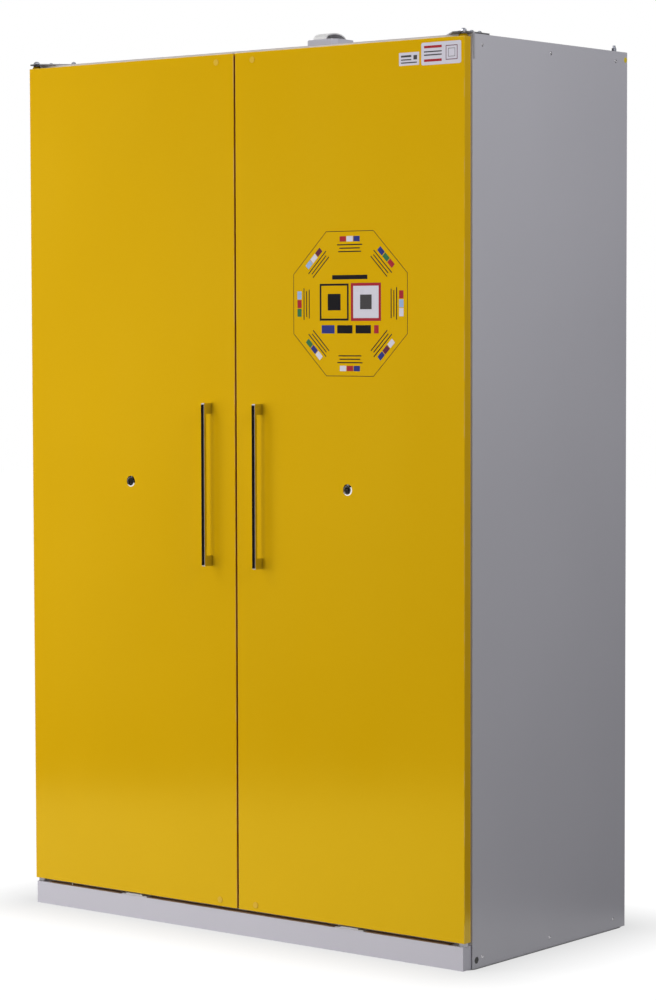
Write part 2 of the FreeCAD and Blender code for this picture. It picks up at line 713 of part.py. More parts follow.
def rounded_bar(name, x, y, z):
    body = new_body(name)
    outline = sketch(body, f"{name}_outline", "XY_Plane", [rectangle(x, y)], lift=z[0])
    base = pad(body, outline, f"({z[1]}) - ({z[0]})")
    rounding = body.newObject("PartDesign::Fillet", f"{name}_rounding")
    rounding.Base = (base, [""])
    rounding.UseAllEdges = True
    bind(rounding, "Radius", "bar_rounding")
    doc.recompute()
    return body


def lock():
    """Rim, barrel and case of the lock, its turning cylinder, and the rod that it drives down."""
    rod_y = (f"{PIVOT_Y} - rod_thickness/2", f"{PIVOT_Y} + rod_thickness/2")
    case_y = (f"{rod_y[0]} - case_wall - rod_clearance", f"{rod_y[1]} + case_wall + rod_clearance")
    case_z = ("lock_z - case_down", "lock_z + case_up")
    rim = bar("lock_rim", "rim_radius", "Y", "lock_x", f"{FACE} - rim_proud", "lock_z", "rim_proud")
    barrel = bar("lock_barrel", "barrel_radius", "Y", "lock_x", FACE, "lock_z",
                 f"({case_y[0]}) - ({FACE})")
    case = block("lock_box", ("lock_x - case_half", "lock_x + case_half"), case_y, case_z)
    channel = block("lock_channel", ("lock_x - case_half + case_wall", "lock_x + case_half - case_wall"),
                    (f"{rod_y[0]} - rod_clearance", f"{rod_y[1]} + rod_clearance"),
                    (f"{case_z[0]} - past", f"{case_z[1]} - case_wall"))
    bore = bar("lock_bore", "cylinder_radius + running_clearance", "Y", "lock_x",
               f"{FACE} - rim_proud - past", "lock_z", f"({rod_y[0]}) - ({FACE}) + rim_proud + past")
    pair(cut("lock_case", fuse("lock_body", rim, barrel, case), channel, bore), "lock_case")

    key_face = f"({FACE} - rim_proud + key_sunk)"
    plug = bar("key_plug", "cylinder_radius", "Y", "lock_x", key_face, "lock_z",
               f"({rod_y[0]}) - {key_face}")
    pinion = bar("key_pinion", "pinion_radius", "Y", "lock_x", rod_y[0], "lock_z", "rod_thickness")
    slot = block("key_slot", ("lock_x - keyway/2", "lock_x + keyway/2"),
                 (f"{key_face} - past", f"{key_face} + keyway_depth"),
                 ("lock_z - keyway_length/2", "lock_z + keyway_length/2"))
    pair(cut("lock_cylinder", fuse("key_turning", plug, pinion), slot), "lock_cylinder")

    rack_near = "(lock_x - pinion_radius - rack_clearance)"
    rack_far = f"({rack_near} - rod_thickness)"
    rack = block("rod_rack", (rack_far, rack_near), rod_y,
                 ("lock_z - 2.5*rod_travel", "lock_z + rod_travel"))
    foot = block("rod_foot", (rack_far, "lock_x + rod_width/2"), rod_y,
                 ("lock_z - 2.5*rod_travel", "lock_z - 1.5*rod_travel"))
    shank = block("rod_shank", ("lock_x - rod_width/2", "lock_x + rod_width/2"), rod_y,
                  (f"{DOOR_LOW} + rod_recess", "lock_z - 1.5*rod_travel"))
    pair(fuse("lock_rod", rack, foot, shank), "lock_rod")


# ---------------------------------------------------------------- inside

def uprights():
    """Four slotted channels that carry the shelf clips."""
    low, high = f"({FLOOR} + upright_bottom_gap)", f"({CEILING} - upright_top_gap)"
    made = []
    for spot, y in UPRIGHTS:
        body = new_body(f"upright_{spot}")
        left, right = f"{y} - upright_width/2", f"{y} + upright_width/2"
        section = [(UPRIGHT_X, left), (INSIDE_X, left), (INSIDE_X, f"{left} + upright_wall"),
                   (f"{UPRIGHT_X} + upright_wall", f"{left} + upright_wall"),
                   (f"{UPRIGHT_X} + upright_wall", f"{right} - upright_wall"),
                   (INSIDE_X, f"{right} - upright_wall"), (INSIDE_X, right), (UPRIGHT_X, right)]
        pad(body, sketch(body, f"section_{spot}", "XY_Plane", [section], lift=low), f"{high} - {low}")
        first = f"({low} + slot_pitch/2)"
        outline = rectangle((f"{y} - slot_width/2", f"{y} + slot_width/2"), (first, f"{first} + slot_height"))
        hole = sketch(body, f"slot_{spot}", "YZ_Plane", [outline], lift=f"{UPRIGHT_X} - past")
        slots = pocket(body, f"slots_{spot}", hole, "upright_wall + 2*past", backwards=True)
        pattern = body.newObject("PartDesign::LinearPattern", f"slot_row_{spot}")
        pattern.Originals = [slots]
        pattern.Direction = (axis_of(body, "Z_Axis"), [""])
        count = f"floor(({high} - {low} - slot_pitch)/slot_pitch) + 1"
        bind(pattern, "Occurrences", count)
        bind(pattern, "Length", f"({count} - 1)*slot_pitch")
        body.Tip = pattern
        doc.recompute()
        made += [body, mirror(f"upright_{spot}_left", body)]
    node(group("shelf_uprights", *made))


def axis_of(body, role):
    return [item for item in body.Origin.OriginFeatures if item.Role == role][0]


def shelves():
    """Three steel trays turned upside down, each on four clips hooked into the uprights."""
    clips = []
    for index, level in enumerate(("low", "middle", "high")):
        top = f"(shelf_first + {index}*shelf_pitch)"
        body = new_body(f"shelf_{level}")
        x, y = (f"-{SHELF_X}", SHELF_X), (SHELF_FRONT, SHELF_BACK)
        under = f"({top} - shelf_height)"
        plan = sketch(body, f"shelf_plan_{level}", "XY_Plane", [rectangle(x, y)], lift=under)
        pad(body, plan, "shelf_height")
        hollow = rectangle((f"{x[0]} + shelf_sheet", f"{x[1]} - shelf_sheet"),
                           (f"{y[0]} + shelf_sheet", f"{y[1]} - shelf_sheet"))
        inside = sketch(body, f"shelf_hollow_{level}", "XY_Plane", [hollow], lift=under)
        pocket(body, f"shelf_under_{level}", inside, "shelf_height - shelf_sheet", backwards=True)
        node(body)
        for spot, middle in UPRIGHTS:
            wide = (f"{middle} - clip_width/2", f"{middle} + clip_width/2")
            tab = block(f"clip_tab_{level}_{spot}", (f"{UPRIGHT_X} - clip_reach", UPRIGHT_X), wide,
                        (f"{under} - clip_tab", under))
            web = block(f"clip_web_{level}_{spot}", (f"{UPRIGHT_X} - upright_wall", UPRIGHT_X), wide,
                        (f"{under} - clip_drop", under))
            clip = fuse(f"clip_{level}_{spot}", tab, web)
            clips += [clip, mirror(f"clip_{level}_{spot}_left", clip)]
    node(group("shelf_clips", *clips))


def sump():
    """Leak tray on the floor, and the slotted grating that lies over it."""
    x, y = (f"-{SHELF_X}", SHELF_X), (SHELF_FRONT, SHELF_BACK)
    rim = f"({FLOOR} + tray_height)"
    outside = block("tray_outside", x, y, (FLOOR, rim))
    basin = block("tray_basin", (f"{x[0]} + tray_wall", f"{x[1]} - tray_wall"),
                  (f"{y[0]} + tray_wall", f"{y[1]} - tray_wall"), (f"{FLOOR} + tray_wall", f"{rim} + past"))
    node(cut("sump_tray", outside, basin))

    body = new_body("sump_grating")
    pad(body, sketch(body, "grating_plan", "XY_Plane", [rectangle(x, y)], lift=rim), "grating")
    inset = "(tray_wall + grating_gap)"
    flange_x, flange_y = f"({SHELF_X} - {inset})", (f"({y[0]} + {inset})", f"({y[1]} - {inset})")
    wall = [rectangle((f"-{flange_x}", flange_x), flange_y),
            rectangle((f"-{flange_x} + grating", f"{flange_x} - grating"),
                      (f"{flange_y[0]} + grating", f"{flange_y[1]} - grating"))]
    skirt = sketch(body, "grating_skirt", "XY_Plane", wall, lift=rim)
    flange = body.newObject("PartDesign::Pad", "grating_flanges")
    flange.Profile = skirt
    flange.Reversed = True
    bind(flange, "Length", "grating_flange")
    doc.recompute()
    middle = f"(({y[0]}) + ({y[1]}))/2"
    first = f"(-{flange_x} + grating_margin)"
    across = (first, f"{first} + grating_slot")
    rows = [rectangle(across, (f"{middle} - grating_slot_outer", f"{middle} - grating_rib")),
            rectangle(across, (f"{middle} + grating_rib", f"{middle} + grating_slot_outer"))]
    slot_plan = sketch(body, "grating_slot_plan", "XY_Plane", rows, lift=f"{rim} - past")
    slots = pocket(body, "grating_slots", slot_plan, "grating + 2*past", backwards=True)
    pattern = body.newObject("PartDesign::LinearPattern", "grating_rows")
    pattern.Originals = [slots]
    pattern.Direction = (axis_of(body, "X_Axis"), [""])
    bind(pattern, "Occurrences", "grating_rows")
    bind(pattern, "Length", f"2*({flange_x} - grating_margin) - grating_slot")
    body.Tip = pattern
    doc.recompute()
    node(body)


# ---------------------------------------------------------------- exhaust and earth stud

def exhaust():
    """Duct through the top wall, an outlet box over it, and the arched cowl, its mouth to the right."""
    outer = "(duct_radius + duct_wall)"
    low = f"({CEILING} - duct_flange)"
    tube = bar("duct_tube", outer, "Z", "0", EXHAUST_Y, low, f"height + duct_rise - {low}")
    flange = bar("duct_rosette", "duct_flange_radius", "Z", "0", EXHAUST_Y, low, "duct_flange")
    bore = bar("duct_bore", "duct_radius", "Z", "0", EXHAUST_Y, f"{low} - past",
               f"height + duct_rise - {low} + 2*past")
    node(cut("exhaust_duct", fuse("duct_flanged", tube, flange), bore))

    half_x, half_y, corner = "outlet_length/2", "outlet_width/2", "outlet_corner"
    box = new_body("outlet_box")
    corners = []
    for sx, sy, first in ((1, 1, "y"), (-1, 1, "x"), (-1, -1, "y"), (1, -1, "x")):
        along_y = (f"{sx}*{half_x}", f"{EXHAUST_Y} + {sy}*({half_y} - {corner})")
        along_x = (f"{sx}*({half_x} - {corner})", f"{EXHAUST_Y} + {sy}*{half_y}")
        corners += [along_y, along_x] if first == "y" else [along_x, along_y]
    pad(box, sketch(box, "outlet_plan", "XY_Plane", [corners], lift="height"), "outlet_height")
    inside_y = (f"{EXHAUST_Y} - {half_y} + outlet_wall", f"{EXHAUST_Y} + {half_y} - outlet_wall")
    chamber = block("outlet_chamber", ("-duct_radius", "duct_radius"), inside_y,
                    ("height - past", f"{OUTLET_TOP} - outlet_wall"))
    socket = bar("outlet_socket", f"{outer} + duct_hole_gap", "Z", "0", EXHAUST_Y, "height - past",
                 "duct_rise + 2*past")
    mouth_x = f"({half_x} - cowl_setback)"
    way = block("outlet_way", (f"{mouth_x} - cowl_length + outlet_wall", mouth_x), inside_y,
                (f"{OUTLET_TOP} - outlet_wall - past", f"{OUTLET_TOP} + past"))
    node(cut("exhaust_outlet", box, chamber, socket, way))

    arch_radius = f"({half_y}*{half_y} + cowl_rise*cowl_rise)/(2*cowl_rise)"
    arch_z = f"({OUTLET_TOP} + cowl_rise - {arch_radius})"
    start = f"({mouth_x} - cowl_length)"
    above = block("cowl_above", (start, mouth_x),
                  (f"{EXHAUST_Y} - outlet_width", f"{EXHAUST_Y} + outlet_width"),
                  (OUTLET_TOP, f"{OUTLET_TOP} + 2*cowl_rise"))
    drum = bar("cowl_drum", arch_radius, "X", start, EXHAUST_Y, arch_z, "cowl_length")
    hollow = bar("cowl_hollow", f"{arch_radius} - outlet_wall", "X", f"{start} + outlet_wall", EXHAUST_Y,
                 arch_z, "cowl_length")
    node(cut("exhaust_cowl", common("cowl_arch", drum, above), hollow))


def earth_stud():
    """Threaded stud with washer and nut on the top, near the rear right corner."""
    x, y = "width/2 - earth_inset", f"{BACK} - earth_from_back"
    stud = bar("stud_shank", "earth_radius", "Z", x, y, "height", "earth_height")
    ring = bar("stud_washer", "washer_radius", "Z", x, y, "height", "washer")
    nut = hexagon("stud_nut", "earth_nut_radius", x, y, "height + washer", "earth_nut")
    node(fuse("earth_stud", stud, ring, nut))


# ---------------------------------------------------------------- build, check, write

def check_and_write():
    doc.recompute()
    failed = [item.Name for item in doc.Objects if {"Invalid", "Error"} & set(item.State)]
    failed += [item.Label for item in nodes if item.Shape.isNull() or not item.Shape.isValid()]
    if failed:
        raise RuntimeError(f"these objects failed: {failed}")
    os.makedirs("parts", exist_ok=True)
    for item in nodes:
        item.Shape.exportStep(f"parts/{item.Label}.step")
        box = item.Shape.BoundBox
        print(f"{item.Label:22s} {len(item.Shape.Solids):3d} solids {item.Shape.Volume / 1000:10.1f} cm3 "
              f"x {box.XMin:8.1f}..{box.XMax:7.1f} y {box.YMin:8.1f}..{box.YMax:7.1f} "
              f"z {box.ZMin:8.1f}..{box.ZMax:7.1f}")
    print(len(nodes), "sub-parts")


make_sheet()
carcass_shell()
carcass_boards()
opening_frame()
plinth()
strikes()
feet()
side_screws()
top_hinges()
hinge_fasteners()
bottom_hinges()
door_skin()
door_core()
door_liner()
door_caps()
handle()
lock()
uprights()
shelves()
sump()
exhaust()
earth_stud()
check_and_write()
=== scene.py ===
# %% [markdown]
# # A flammable storage cabinet
# The cabinet is a steel and fire-board box with two yellow doors, a duct outlet on its roof and
# a spill tray inside. Its size, its pieces and its moving bodies come from an engineering model,
# which is loaded first and never moved. This lesson gives those pieces their finishes, and
# rebuilds the ones whose edges, folds and heads are seen close up.

import json
import math

import bmesh
import bpy
from mathutils import Matrix, Vector


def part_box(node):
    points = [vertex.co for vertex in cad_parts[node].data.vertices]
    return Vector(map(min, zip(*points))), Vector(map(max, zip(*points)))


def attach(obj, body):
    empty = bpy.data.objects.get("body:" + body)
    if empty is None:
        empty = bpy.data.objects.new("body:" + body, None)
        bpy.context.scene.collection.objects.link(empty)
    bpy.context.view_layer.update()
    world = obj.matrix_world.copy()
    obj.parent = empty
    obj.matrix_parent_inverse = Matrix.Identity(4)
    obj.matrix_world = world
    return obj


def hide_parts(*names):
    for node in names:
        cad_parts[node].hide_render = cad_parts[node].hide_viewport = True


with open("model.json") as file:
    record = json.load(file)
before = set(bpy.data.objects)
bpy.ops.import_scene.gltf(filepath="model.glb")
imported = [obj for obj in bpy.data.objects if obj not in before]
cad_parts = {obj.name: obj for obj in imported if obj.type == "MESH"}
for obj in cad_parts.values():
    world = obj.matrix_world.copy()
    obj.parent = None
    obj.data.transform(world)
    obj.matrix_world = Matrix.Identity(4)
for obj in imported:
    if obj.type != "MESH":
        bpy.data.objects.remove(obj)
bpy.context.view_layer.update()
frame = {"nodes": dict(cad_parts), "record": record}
nodes = frame["nodes"]
slot_of = {row["node"]: row["material_slot"] for row in frame["record"]["subparts"]}
bodies = frame["record"]["behaviour"]["bodies"]
body_of = {name: body for body, held in bodies.items() for name in held}
MM = 0.001
HALF_WIDTH = 600.0  # millimetres from the middle to a side panel's outer face

# %% [markdown]
# ## Where the viewer stands
# The cabinet is seen from the right and from a little above the middle of its doors, six metres
# away, so that its uprights stay nearly parallel. A long lens keeps that calm look. The turns are
# made in the order heading, tilt, roll, which is the order in which a tripod head is set.

# %% Camera
camera = bpy.data.objects.new("camera", bpy.data.cameras.new("camera"))
bpy.context.collection.objects.link(camera)
camera.data.lens, camera.data.sensor_width = 107.36, 36.0
camera.data.clip_end = 200.0
heading, tilt, roll = 38.6475, 86.6601, -0.1565
camera.matrix_world = (
    Matrix.Translation((4.1065, -5.1043, 1.303))
    @ Matrix.Rotation(math.radians(heading), 4, "Z")
    @ Matrix.Rotation(math.radians(tilt), 4, "X")
    @ Matrix.Rotation(math.radians(roll), 4, "Z")
)
bpy.context.scene.camera = camera
print("camera looks", [round(v, 3) for v in camera.matrix_world.to_3x3() @ Vector((0, 0, -1))])

# %% [markdown]
# ## The studio
# A product studio is a pale sweep of floor with a white room round it. The room is white to the
# eye and in every reflection, but as a light it is dimmer, so that the lamps can shape the box.
# Both come from one world: the Light Path node says which kind of ray is asking.

# %% White room that is seen at full strength and lights at less
room = bpy.data.worlds.new("white_room")
bpy.context.scene.world = room
room.use_nodes = True
room_tree = room.node_tree
ROOM_LIGHT = 0.34
seen_white = room_tree.nodes["Background"]
lighting_white = room_tree.nodes.new("ShaderNodeBackground")
seen_white.inputs["Color"].default_value = (1, 1, 1, 1)
lighting_white.inputs["Color"].default_value = (0.985, 0.99, 1.0, 1)
lighting_white.inputs["Strength"].default_value = ROOM_LIGHT


def seen_directly(tree):
    """1 for a ray from the eye, a mirror or a glass, and 0 for one that gathers light."""
    path = tree.nodes.new("ShaderNodeLightPath")
    total = path.outputs["Is Camera Ray"]
    for kind in ("Is Glossy Ray", "Is Transmission Ray"):
        either = tree.nodes.new("ShaderNodeMath")
        either.operation = "MAXIMUM"
        tree.links.new(total, either.inputs[0])
        tree.links.new(path.outputs[kind], either.inputs[1])
        total = either.outputs[0]
    return total


choose = room_tree.nodes.new("ShaderNodeMixShader")
room_tree.links.new(seen_directly(room_tree), choose.inputs[0])
room_tree.links.new(lighting_white.outputs[0], choose.inputs[1])
room_tree.links.new(seen_white.outputs[0], choose.inputs[2])
room_tree.links.new(choose.outputs[0], room_tree.nodes["World Output"].inputs["Surface"])
print("room lights at", ROOM_LIGHT)

# %% [markdown]
# ## The floor
# A studio floor is pale and dull. It keeps the soft shadow under the plinth, and a little light of
# its own, given only to rays that look at it, lifts the rest to the white of the room. That lift
# falls to three fifths beside the cabinet, which is a painted shadow round its foot, and to a
# twentieth under it, which is painted shade, so that what is seen through the holes and gaps near
# the floor stays dark.

# %% Pale floor
floor_mesh = bmesh.new()
bmesh.ops.create_grid(floor_mesh, x_segments=8, y_segments=8, size=15.0)
floor_data = bpy.data.meshes.new("studio_floor")
floor_mesh.to_mesh(floor_data)
floor_mesh.free()
floor = bpy.data.objects.new("studio_floor", floor_data)
bpy.context.collection.objects.link(floor)
floor_paint = bpy.data.materials.new("studio_floor")
floor_paint.use_nodes = True
floor_tree = floor_paint.node_tree
floor_shader = floor_tree.nodes["Principled BSDF"]
floor_shader.inputs["Base Color"].default_value = (0.14, 0.14, 0.14, 1)
floor_shader.inputs["Roughness"].default_value = 0.9
floor_shader.inputs["Specular IOR Level"].default_value = 0.0
floor_shader.inputs["Emission Color"].default_value = (1, 1, 1, 1)
where = floor_tree.nodes.new("ShaderNodeTexCoord")
spread = floor_tree.nodes.new("ShaderNodeSeparateXYZ")
floor_tree.links.new(where.outputs["Object"], spread.inputs[0])


def math_node(kind, *values):
    """A Math node on the floor's tree. Each value is a number or a link."""
    made = floor_tree.nodes.new("ShaderNodeMath")
    made.operation = kind
    for socket, value in zip(made.inputs, values):
        if isinstance(value, float):
            socket.default_value = value
        else:
            floor_tree.links.new(value, socket)
    return made.outputs[0]


CORE_X, CORE_Y, CORE_MIDDLE_Y = 0.57, 0.26, 0.015  # half sizes and place of a box under it, in m
# The lift is dimmed near the cabinet's footprint: a painted shadow beside it, and painted shade under
# it.
PAINTED_SHADOW_REACH, PAINTED_SHADOW_LEAST, PAINTED_SHADOW_CURVE = 0.26, 0.62, 0.8
FOOT_REACH, PAINTED_SHADE_UNDER, LIFT = 0.035, 0.05, 0.96
side_out = math_node("ABSOLUTE", spread.outputs[0])
past_side = math_node("MAXIMUM", math_node("SUBTRACT", side_out, CORE_X), 0.0)
depth_out = math_node("ABSOLUTE", math_node("SUBTRACT", spread.outputs[1], CORE_MIDDLE_Y))
past_depth = math_node("MAXIMUM", math_node("SUBTRACT", depth_out, CORE_Y), 0.0)
squares = [math_node("POWER", reach, 2.0) for reach in (past_side, past_depth)]
clear = math_node("SQRT", math_node("ADD", *squares))
away = math_node("POWER", math_node("DIVIDE", clear, PAINTED_SHADOW_REACH), PAINTED_SHADOW_CURVE)
away = math_node("MINIMUM", away, 1.0)
lift_with_painted_shadow = math_node("ADD", math_node("MULTIPLY", away, 1.0 - PAINTED_SHADOW_LEAST), PAINTED_SHADOW_LEAST)
past_feet = math_node("GREATER_THAN", clear, FOOT_REACH)
# Under the cabinet the lift drops to a twentieth, which is painted shade.
lift_with_painted_shadow = math_node("MAXIMUM", math_node("MULTIPLY", lift_with_painted_shadow, past_feet), PAINTED_SHADE_UNDER)
seen_floor = math_node("MULTIPLY", seen_directly(floor_tree), lift_with_painted_shadow)
lift = math_node("MULTIPLY", seen_floor, LIFT)
floor_tree.links.new(lift, floor_shader.inputs["Emission Strength"])
floor_data.materials.append(floor_paint)
print("floor is 30 m across, and its lift is whole", PAINTED_SHADOW_REACH, "m from the cabinet")

# %% [markdown]
# ## The lamps
# The front lamp stands level and close to the viewer's line, and keeps the handles' shadows short.
# A wide one to its left makes the left door the brighter, and its shadows are too soft to see. The
# third is high on the left, and throws the faint long ones. A fourth over the right side lights
# the side panel from above, which leaves its foot darker than its top. Gloss paint would mirror
# the two in front as a glare on the doors, so mirrors don't see them.

# %% Soft lamps


def soft_lamp(name, place, aim, width, watts, tint):
    """A square area lamp at a place, turned to face a point."""
    lamp = bpy.data.lights.new(name, "AREA")
    lamp.shape, lamp.size, lamp.energy, lamp.color = "SQUARE", width, watts, tint
    made = bpy.data.objects.new(name, lamp)
    bpy.context.collection.objects.link(made)
    place, ray = Vector(place), Vector(aim) - Vector(place)
    made.matrix_world = Matrix.Translation(place) @ ray.to_track_quat("-Z", "Y").to_matrix().to_4x4()
    print(f"{name}: {ray.length:.2f} m away, {watts} W")
    return made


WARM, WARMER, COOL = (1.0, 0.995, 0.99), (1.0, 0.995, 0.985), (0.97, 0.98, 1.0)
front_lamp = soft_lamp("front_lamp", (-0.9, -5.4, 0.8), (0.0, -0.2, 0.8), 1.5, 87.0, WARM)
left_lamp = soft_lamp("left_lamp", (-2.6, -2.9, 0.7), (-0.2, -0.2, 0.8), 3.0, 92.0, WARM)
soft_lamp("high_lamp", (-3.4, -3.6, 5.2), (0.0, -0.2, 1.0), 1.6, 82.0, WARMER)
soft_lamp("side_lamp", (3.2, -0.9, 2.9), (0.6, 0.0, 1.6), 1.5, 51.5, COOL)
front_lamp.visible_glossy = left_lamp.visible_glossy = False

# %% [markdown]
# ## The dark flags
# Gloss paint and chrome mirror whatever stands opposite them. A black flag facing the doors keeps
# their colour deep, and only the floor in front of it shows as a paler band along their feet. Two
# dim flags on the right do the same for the folded edges and the handles' sides. Flags are seen in
# reflections alone: they throw no shadow and the eye never meets them.

# %% Flags
DOORS_Y = -0.28  # the doors' faces, near enough


def flag(name, heading_x, heading_y, distance, width, height, grey):
    """An upright card that faces the doors from a heading, seen only by mirrors. In metres."""
    toward = Vector((heading_x, heading_y, 0.0)).normalized()
    across = Vector((toward.y, -toward.x, 0.0))
    turn = Matrix((across, Vector((0, 0, 1)), toward)).transposed().to_4x4()
    centre = Vector((0.0, DOORS_Y, height / 2)) + toward * distance
    card = bmesh.new()
    bmesh.ops.create_grid(
        card, x_segments=1, y_segments=1, size=0.5,
        matrix=Matrix.Translation(centre) @ turn @ Matrix.Diagonal((width, height, 1, 1)),
    )
    data = bpy.data.meshes.new(name)
    card.to_mesh(data)
    card.free()
    made = bpy.data.objects.new(name, data)
    bpy.context.collection.objects.link(made)
    felt = bpy.data.materials.new(name)
    felt.use_nodes = True
    shader = felt.node_tree.nodes["Principled BSDF"]
    shader.inputs["Base Color"].default_value = (*grey, 1)
    shader.inputs["Specular IOR Level"].default_value = 0.0
    data.materials.append(felt)
    made.visible_camera = made.visible_diffuse = False
    made.visible_shadow = made.visible_transmission = False
    print(f"{name}: centre {[round(v, 2) for v in centre]}")


flag("door_flag", -0.62, -0.785, 2.0, 5.0, 3.2, (0.03, 0.03, 0.036))
flag("right_flag", 0.93, -0.36, 2.6, 3.2, 3.2, (0.34, 0.29, 0.33))
flag("rear_flag", 0.70, 0.71, 0.95, 3.2, 3.2, (0.30, 0.30, 0.31))

# %% [markdown]
# ## How a finish is built
# Every finish here is a Principled shader with three kinds of detail: a colour that wanders a
# little, a roughness that wanders more, and a fine relief. All of it is noise laid out in the
# piece's own space, in metres, so that the grain has a real size. These helpers keep each recipe
# to a few lines.

# %% Shader helpers


def node(tree, kind, **settings):
    """Adds a shader node, and sets its options and its inputs by name (spaces written as _)."""
    made = tree.nodes.new("ShaderNode" + kind)
    for name, value in settings.items():
        if name in made.inputs or name.replace("_", " ") in made.inputs:
            made.inputs[name if name in made.inputs else name.replace("_", " ")].default_value = value
        else:
            setattr(made, name, value)
    return made


def grain(tree, per_metre, detail=3.0, stretch=(1, 1, 1)):
    """Noise with so many lumps to the metre, drawn out along an axis where stretch is small."""
    place, sized = node(tree, "TexCoord"), node(tree, "Mapping", Scale=stretch)
    noise = node(tree, "TexNoise", Scale=per_metre, Detail=detail)
    tree.links.new(place.outputs["Object"], sized.inputs["Vector"])
    tree.links.new(sized.outputs["Vector"], noise.inputs["Vector"])
    return noise.outputs[0]


def stretched(tree, value, low, high, bottom=0.3, top=0.7):
    """Maps noise from its usual range to low..high."""
    made = node(tree, "MapRange", From_Min=bottom, From_Max=top, To_Min=low, To_Max=high)
    tree.links.new(value, made.inputs["Value"])
    return made.outputs["Result"]


def blended(tree, amount, first, second):
    """Mixes two colours, or a colour and a link, by a value."""
    made = node(tree, "Mix", data_type="RGBA")
    tree.links.new(amount, made.inputs[0])
    for socket, colour in ((made.inputs[6], first), (made.inputs[7], second)):
        if isinstance(colour, tuple):
            socket.default_value = (*colour, 1)
        else:
            tree.links.new(colour, socket)
    return made.outputs[2]


def product(tree, first, second):
    """Multiplies two values, or a value and a number."""
    made = node(tree, "Math", operation="MULTIPLY")
    for socket, value in zip(made.inputs, (first, second)):
        if isinstance(value, float):
            socket.default_value = value
        else:
            tree.links.new(value, socket)
    return made.outputs[0]


def relief(tree, shader, *layers):
    """Stacks bumps on the shader: each layer is a height value and its depth in millimetres."""
    normal = None
    for height, depth in layers:
        made = node(tree, "Bump", Distance=depth * MM)
        tree.links.new(height, made.inputs["Height"])
        if normal:
            tree.links.new(normal, made.inputs["Normal"])
        normal = made.outputs["Normal"]
    tree.links.new(normal, shader.inputs["Normal"])


def shaded(colour, by):
    """A colour made darker or lighter by a factor."""
    return tuple(min(1.0, c * by) for c in colour)


def bare_finish(name, **settings):
    """A new Principled finish, its node tree and its shader, with plain settings on the sockets."""
    made = bpy.data.materials.new(name)
    made.use_nodes = True
    shader = made.node_tree.nodes["Principled BSDF"]
    for key, value in settings.items():
        shader.inputs[key.replace("_", " ")].default_value = value
    return made, made.node_tree, shader


print("shader helpers ready")

# %% [markdown]
# ## Powder coat
# Powder paint flows as it bakes. It leaves a faint orange peel a couple of millimetres across over
# the slow waves of the sheet steel, and it thins and chalks a little on folded edges, where hands
# and cloths rub it. The pieces built below mark those folds with an attribute called "fold", and
# this recipe reads it to wear the paint there.

# %% Powder coat recipe


def powder_coat(name, colour, roughness, gloss=0.5, tint=(1, 1, 1), peel=0.03, wave=2.0, wear=0.3):
    """Baked paint. peel and wave are the relief's depths in millimetres, tint colours its gloss."""
    made, tree, shader = bare_finish(name, Specular_IOR_Level=gloss, Specular_Tint=(*tint, 1))
    cloudy = stretched(tree, grain(tree, 1.7, 4.0), 0.0, 1.0)
    speck = stretched(tree, grain(tree, 620.0, 2.0), 0.0, 0.35)
    tone = blended(tree, cloudy, shaded(colour, 0.975), shaded(colour, 1.025))
    tone = blended(tree, speck, tone, shaded(colour, 0.93))
    fold = node(tree, "Attribute", attribute_name="fold").outputs["Fac"]
    rub = grain(tree, 90.0, 5.0, (1, 1, 0.25))
    worn = product(tree, fold, stretched(tree, rub, 0.0, wear, 0.42, 0.6))
    pale = tuple(c + (0.75 - c) * 0.45 for c in colour)
    tree.links.new(blended(tree, worn, tone, pale), shader.inputs["Base Color"])
    rubbed = stretched(tree, grain(tree, 9.0, 5.0, (1, 1, 0.3)), roughness * 0.88, roughness * 1.14)
    duller = node(tree, "Math", operation="ADD")
    tree.links.new(rubbed, duller.inputs[0])
    tree.links.new(product(tree, fold, 0.08), duller.inputs[1])
    tree.links.new(duller.outputs[0], shader.inputs["Roughness"])
    relief(tree, shader, (grain(tree, 2.4, 1.0), wave), (grain(tree, 430.0, 2.0), peel))
    return made


YELLOW, YELLOW_GLOSS = (0.665, 0.378, 0.0018), (1.0, 0.94, 0.04)
finish = {
    "door_yellow": powder_coat("door_yellow", YELLOW, 0.17, 1.0, YELLOW_GLOSS, 0.018, 1.6),
    "shell_grey": powder_coat("shell_grey", (0.50, 0.49, 0.53), 0.36, wave=1.4),
    "plinth_grey": powder_coat("plinth_grey", (0.535, 0.52, 0.575), 0.34, wave=1.0),
    "frame_steel": powder_coat("frame_steel", (0.72, 0.70, 0.71), 0.4),
    "shelf_paint": powder_coat("shelf_paint", (0.60, 0.60, 0.62), 0.38),
    "tray_paint": powder_coat("tray_paint", (0.56, 0.56, 0.58), 0.4),
    "strike_grey": powder_coat("strike_grey", (0.48, 0.47, 0.47), 0.42),
    "cap_yellow": powder_coat(
        "cap_yellow", (0.66, 0.40, 0.012), 0.32, peel=0.012, wave=0.2, wear=0.1
    ),
}
print(f"{len(finish)} powder coats")

# %% [markdown]
# ## Bare and plated metal
# Zinc plate is bluish and slightly cloudy. Hot-dip galvanising adds crystals a centimetre across,
# which are cells of a Voronoi texture with a grey of their own. Drawn steel has long scratches
# along one axis. Chrome is the smoothest, and only faint wipe marks break it up.

# %% Metal recipe


